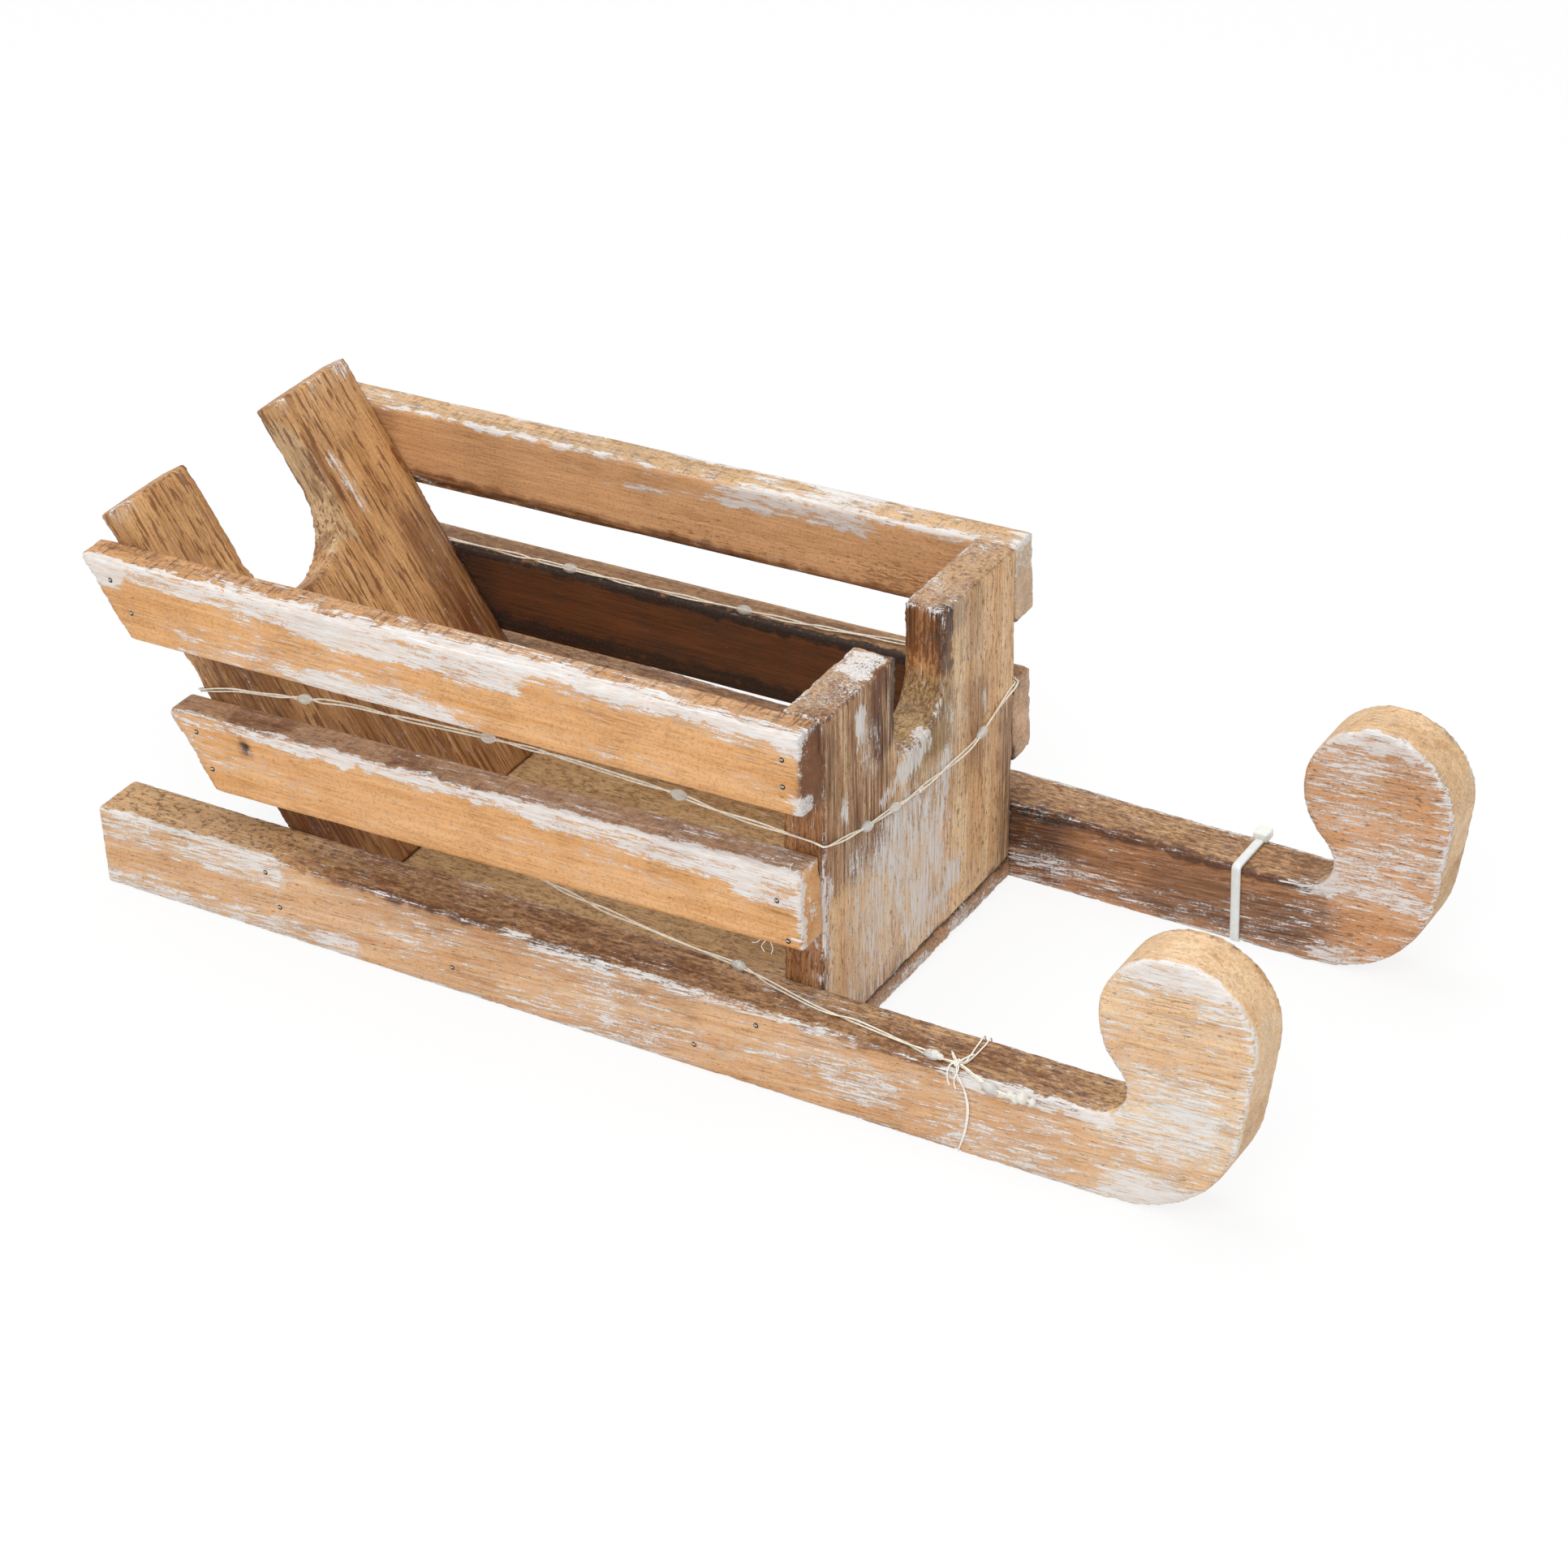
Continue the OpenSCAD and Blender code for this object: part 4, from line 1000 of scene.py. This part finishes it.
class SLED_OT_slats(bpy.types.Operator):
    """Rebuild the four side slats"""
    bl_idname = "sled.slats"
    bl_label = "Slats"

    def execute(self, context):
        dress_boards(context, [node for node in LOOKS if node.startswith("slat")])
        chalk = plain_finish("fray_chalk", context.scene.sled_colours.paint, 0.8, 1.5, 0.1)
        lines = [along_path(fray, 0.4) for fray in FRAYS]
        mesh = swept("frayed_fibres", lines, context.scene.sled_sizes.fibre, 5, chalk)
        settle("frayed_fibres", mesh)
        return {"FINISHED"}


class SLED_OT_brads(bpy.types.Operator):
    """Set the brads that hold the slats and runners"""
    bl_idname = "sled.brads"
    bl_label = "Brads"

    def execute(self, context):
        colours = context.scene.sled_colours
        work = bmesh.new()
        block(work, (0.9, 1.5, 0.5), (0.28, 0.0, 0.10))
        lathe(work, HOLE_OUTLINE, 12, index=1)
        bmesh.ops.recalc_face_normals(work, faces=work.faces)
        steel = plain_finish("brad_steel", colours.steel, 0.42, 2.0, 0.2, Metallic=0.8)
        hole = plain_finish("brad_hole", colours.char, 0.8, 2.0, 0.3)
        mesh = mesh_of(work, "brad_model", steel, hole)
        places = [(spot, towards((0, math.copysign(1, spot[1]), 0))) for spot in BRADS]
        mesh = scattered("brads", new_object("brad_model", mesh), places, context.scene.sled_sizes.brad)
        settle("brads", mesh)
        return {"FINISHED"}


class SLED_OT_light_string(bpy.types.Operator):
    """Lay the silvered twin wire and its clear drops"""
    bl_idname = "sled.light_string"
    bl_label = "Light String"

    def execute(self, context):
        sizes = context.scene.sled_sizes
        colours = context.scene.sled_colours
        runs = [[row[:3] for row in route] for route in (CRATE_ROUTE, RUNNER_ROUTE)]
        lights = [row[:3] for row in CRATE_ROUTE + RUNNER_ROUTE if row[3]]
        silver = plain_finish("wire_silver", colours.wire, 0.28, 0.9, 0.14, Metallic=0.12)
        mesh = swept("light_wire", twin_strands(runs, sizes, sizes.seed), sizes.strand, 8, silver)
        settle("light_wire_strands", mesh, None, ("light_wire_crate", "light_wire_runner"))

        clear = plain_finish("drop_clear", colours.drop, 0.15, 0.4, 0.02, Transmission_Weight=0.60, IOR=1.35)
        glow = plain_finish("drop_chip", colours.chip_light, 0.4, 2.0, 0.15)
        work = bmesh.new()
        lathe(work, DROP_OUTLINE, 16)
        lathe(work, LIGHT_OUTLINE, 8, index=1)
        bmesh.ops.recalc_face_normals(work, faces=work.faces)
        mesh = mesh_of(work, "drop_model", clear, glow)
        mesh.shade_smooth()
        places = [(spot, nearest_turn(runs, spot)) for spot in lights]
        mesh = scattered("light_drops", new_object("drop_model", mesh), places, sizes.drop)
        settle("light_drops", mesh)

        milk = plain_finish("resin_milky", colours.resin, 0.3, 0.8, 0.05, Transmission_Weight=0.25, IOR=1.4)
        settle("glue_lump", lump_mesh("glue_lump", GLUE_END, sizes.seed), milk, ("glue_blob",))
        settle("milky_drops", lump_mesh("milky_drops", MILKY, sizes.seed), milk)
        return {"FINISHED"}


def thread_lines():
    """Two turns of thread round the right runner, and the knot's ends, in millimetres."""
    top, out = 24.3, -66.3
    loops = []
    # shift moves a turn along the runner, and lean slants it on the outer side
    for shift, lean in ((0.0, 0.0), (1.7, -0.6)):
        loops.append([
            (92.2 + lean * 0.2, -64.3, 25.2), (93.2 + shift * 0.3, -62.0, top + 0.1),
            (92.4 + shift, -53.5, top), (92.2 + shift, -49.8, 23.8), (92.0 + shift, -49.6, 12),
            (92.4 + shift * 0.4, -49.8, 1.0),
            (92.8, -52, 0.35), (93.0, -64, 0.35), (93.3, -66.2, 0.8), (95.3 + lean * 0.4, out - 0.2, 6.6),
            (96.2 + lean * 0.5, out - 0.2, 12), (96.2 + lean * 0.5, out - 0.2, 16), (95.0, out - 0.1, 20),
            (93.2, out, 23.4), (92.2, -64.6, 25.3)])
    loops += [
        [(92.2, -64.4, 25.4), (91.0, -65.8, 25.2), (90.6, -66.6, 22.5), (91.2, -66.7, 19.8)],
        [(92.2, -64.4, 25.4), (93.4, -65.9, 24.9), (92.6, -66.7, 22.0), (92.9, -66.7, 19.2)],
        [(91.6, -64.9, 25.0), (92.3, -63.6, 26.0), (92.9, -64.6, 25.9), (92.2, -65.4, 25.0),
         (91.5, -64.4, 25.9), (92.4, -64.0, 25.2)],
        [(92.4, -64.3, 25.6), (95.4, -61.6, 27.2), (94.2, -62.4, 25.2), (92.6, -64.2, 25.4)],
        [(92.2, -64.3, 25.6), (89.6, -62.2, 26.6), (90.8, -63.2, 25.0), (92.0, -64.2, 25.4)]]
    return [along_path(loop, 0.5) for loop in loops]


def strap_mesh():
    """A cable tie round the left runner, with its head above the outer edge."""
    x, width, ease = (STRAP_X - STRAP_W / 2) * MM, STRAP_W * MM, STRAP_BEND * MM
    inner, outer, top = 49.0 * MM + ease, 67.0 * MM - ease, (STRAP_TOP + STRAP_T) * MM
    low = ease + STRAP_LIFT * MM
    work = bmesh.new()
    rings = []
    bends = ((outer, top - ease, 0), (inner, top - ease, 90), (inner, low, 180), (outer, low, 270))
    for y, z, start in bends:
        for k in range(5):
            angle = math.radians(start + 22.5 * k)
            ring = []
            for share, depth in STRAP_SECTION:
                reach = ease - depth * STRAP_T * MM
                place = (x + width * share, y + reach * math.cos(angle), z + reach * math.sin(angle))
                ring.append(work.verts.new(place))
            rings.append(ring)
    for i, ring in enumerate(rings):
        after = rings[(i + 1) % len(rings)]
        for k in range(len(ring)):
            j = (k + 1) % len(ring)
            work.faces.new((ring[k], ring[j], after[j], after[k]))
    head = block(work, Vector(STRAP_HEAD) * MM, (x + width / 2, outer + ease - 1.2 * MM, top + 0.6 * MM))
    edges = [edge for edge in work.edges if all(corner in head for corner in edge.verts)]
    bmesh.ops.bevel(work, geom=edges, offset=0.5 * MM, segments=3, affect="EDGES", profile=0.5)
    bmesh.ops.recalc_face_normals(work, faces=work.faces)
    mesh = mesh_of(work, "strap")
    mesh.shade_smooth()
    return mesh


class SLED_OT_ties(bpy.types.Operator):
    """Tie the thread round the right runner and the strap round the left one"""
    bl_idname = "sled.ties"
    bl_label = "Ties"

    def execute(self, context):
        colours = context.scene.sled_colours
        cotton = plain_finish("thread_cotton", colours.thread, 0.9, 1.5, 0.12)
        mesh = swept("thread", thread_lines(), context.scene.sled_sizes.thread, 7, cotton)
        settle("thread_round_right_runner", mesh, None, ("thread_right",))
        milky = plain_finish("strap_milky", colours.strap, 0.32, 0.5, 0.04, Subsurface_Weight=0.2)
        settle("strap_round_left_runner", strap_mesh(), milky, ("strap_left",))
        return {"FINISHED"}


class SLED_OT_battery_box(bpy.types.Operator):
    """Give the battery box its clear walls, metal and circuit board, and its screw"""
    bl_idname = "sled.battery_box"
    bl_label = "Battery Box"

    def execute(self, context):
        colours = context.scene.sled_colours
        clear = plain_finish("box_clear", colours.box, 0.22, 0.25, 0.02, Alpha=0.30)
        metal = plain_finish("box_metal", colours.steel, 0.3, 1.2, 0.1, Metallic=0.9)
        green = board_finish(colours)
        tan = plain_finish("crystal_tan", colours.crystal, 0.5, 0.8, 0.06)
        black = plain_finish("switch_black", colours.switch, 0.42, 1.5, 0.2)
        for node, material in (("battery_case", clear), ("battery_lid", clear), ("battery_end_cover", clear),
                               ("battery_contacts", metal), ("circuit_board", green), ("circuit_parts", tan),
                               ("slide_switch", black)):
            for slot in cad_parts[node].material_slots:
                slot.material = material

        # The screw stands in the round hole of the end cover
        work = bmesh.new()
        lathe(work, [(radius * MM, height * MM) for radius, height in SCREW_OUTLINE], 24)
        for turn in (0, 90):
            bar = bmesh.ops.create_cube(work, size=1.0)["verts"]
            bmesh.ops.scale(work, vec=(2.2 * MM, 0.42 * MM, 0.1 * MM), verts=bar)
            bmesh.ops.rotate(work, matrix=Matrix.Rotation(math.radians(turn), 3, "Z"), verts=bar)
            bmesh.ops.translate(work, vec=(0, 0, 0.92 * MM), verts=bar)
            for face in {f for v in bar for f in v.link_faces}:
                face.material_index = 1
        bmesh.ops.recalc_face_normals(work, faces=work.faces)
        cross = plain_finish("screw_cross", colours.char, 0.6, 2.0, 0.2, Metallic=0.5)
        mesh = mesh_of(work, "battery_cover_screw", metal, cross)
        lean = math.radians(BACK_LEAN)
        up = Vector((-math.sin(lean), 0, math.cos(lean)))
        left = Vector((0, 1, 0))
        away = up.cross(left)
        place = Matrix((up, left, away)).transposed().to_4x4()
        centre = Vector((BACK_X, BOX_Y + SCREW_Y, 0)) + up * BOX_UP + away * (BACK_T + SCREW_DEPTH)
        place.translation = centre * MM
        mesh.transform(place)
        settle("battery_cover_screw", mesh)
        return {"FINISHED"}


# Stage

# How bright the room is, how grey the floor, the share of plain white that the camera sees on it, and the
# lamps: name, place, width and power, all aimed at one point
ROOM_LIGHT = 0.58
FLOOR_GREY = 0.86
FLOOR_WHITE = 0.86
LAMPS = [("key_lamp", (0.5, -1.3, 1.7), 1.2, 21.0), ("top_lamp", (-0.3, 0.2, 2.0), 1.6, 18.0)]
LAMP_AIM = (0, 0, 0.05)


def camera_matrix():
    az, el, roll = CAMERA_AZIMUTH, CAMERA_ELEVATION, CAMERA_ROLL
    ahead = Vector((-math.sin(az) * math.cos(el), math.cos(az) * math.cos(el), -math.sin(el)))
    right = Vector((math.cos(az), math.sin(az), 0.0))
    up = right.cross(ahead)
    x = right * math.cos(roll) + up * math.sin(roll)
    y = up * math.cos(roll) - right * math.sin(roll)
    z = -ahead
    matrix = Matrix((x, y, z)).transposed().to_4x4()
    matrix.translation = Vector(CAMERA_PLACE)
    return matrix


def add_lamp(name, place, size, power):
    lamp = bpy.data.lights.new(name, "AREA")
    lamp.shape = "DISK"
    lamp.size = size
    lamp.energy = power
    lit = new_object(name, lamp)
    lit.location = place
    lit.rotation_euler = (Vector(LAMP_AIM) - Vector(place)).to_track_quat("-Z", "Y").to_euler()


def white_to_camera(tree, shaded, white, share):
    """A share of white in what the camera, glass and gloss see, over what is shaded."""
    seen = 0.0
    for label in ("Is Camera Ray", "Is Glossy Ray", "Is Transmission Ray"):
        ray = add_node(tree, "ShaderNodeLightPath", {}, {}, label)
        seen = add_node(tree, "ShaderNodeMath", {"operation": "MAXIMUM"}, {0: seen, 1: ray})
    seen = add_node(tree, "ShaderNodeMath", {"operation": "MULTIPLY"}, {0: seen, 1: share})
    return add_node(tree, "ShaderNodeMixShader", {}, {0: seen, 1: shaded, 2: white})


class SLED_OT_stage(bpy.types.Operator):
    """Set the camera, the soft lamps and the white floor"""
    bl_idname = "sled.stage"
    bl_label = "Stage"

    def execute(self, context):
        scene = context.scene
        scene.view_settings.view_transform = "Standard"
        view = bpy.data.cameras.new("photo_camera")
        view.sensor_width = 36.0
        view.lens = CAMERA_LENS
        view.clip_start = 0.05
        view.clip_end = 20.0
        scene.camera = new_object("photo_camera", view)
        scene.camera.matrix_world = camera_matrix()

        scene.world = bpy.data.worlds.new("soft_room")
        tree = blank_tree(scene.world)
        light = add_node(tree, "ShaderNodeBackground", {},
            {"Color": (1.0, 1.0, 1.0, 1.0), "Strength": ROOM_LIGHT})
        white = add_node(tree, "ShaderNodeBackground", {}, {"Strength": 1.0})
        add_node(tree, "ShaderNodeOutputWorld", {}, {"Surface": white_to_camera(tree, light, white, 1.0)})
        for row in LAMPS:
            add_lamp(*row)

        material = bpy.data.materials.new("floor_white")
        tree = blank_tree(material)
        matte = add_node(tree, "ShaderNodeBsdfDiffuse", {}, {"Color": (*[FLOOR_GREY] * 3, 1.0)})
        glow = add_node(tree, "ShaderNodeEmission", {}, {"Strength": 1.0})
        mixed = white_to_camera(tree, matte, glow, FLOOR_WHITE)
        add_node(tree, "ShaderNodeOutputMaterial", {}, {"Surface": mixed})
        work = bmesh.new()
        bmesh.ops.create_grid(work, x_segments=2, y_segments=2, size=6.0)
        mesh = mesh_of(work, "floor_sheet", material)
        mesh.transform(Matrix.Translation((0, 0, -0.0002)))
        new_object("floor_sheet", mesh)
        return {"FINISHED"}


class SLED_PT_panel(bpy.types.Panel):
    """The sled's steps and choices"""
    bl_idname = "SLED_PT_panel"
    bl_label = "Table Sled"
    bl_space_type = "VIEW_3D"
    bl_region_type = "UI"
    bl_category = "Sled"

    def draw(self, context):
        for operator in OPERATORS:
            self.layout.operator(operator.bl_idname)
        for group in (context.scene.sled_sizes, context.scene.sled_colours):
            for key in group.__annotations__:
                self.layout.prop(group, key)


OPERATORS = (SLED_OT_stage, SLED_OT_runners, SLED_OT_crate, SLED_OT_slats, SLED_OT_brads, SLED_OT_ties,
             SLED_OT_light_string, SLED_OT_battery_box)
CLASSES = (SledSizes, SledColours, *OPERATORS, SLED_PT_panel)


def register():
    for each in CLASSES:
        bpy.utils.register_class(each)
    bpy.types.Scene.sled_sizes = PointerProperty(type=SledSizes)
    bpy.types.Scene.sled_colours = PointerProperty(type=SledColours)


def unregister():
    del bpy.types.Scene.sled_colours
    del bpy.types.Scene.sled_sizes
    for each in reversed(CLASSES):
        bpy.utils.unregister_class(each)


def main():
    register()
    for operator in OPERATORS:
        group, step = operator.bl_idname.split(".")
        getattr(getattr(bpy.ops, group), step)()


if __name__ == "__main__":
    main()
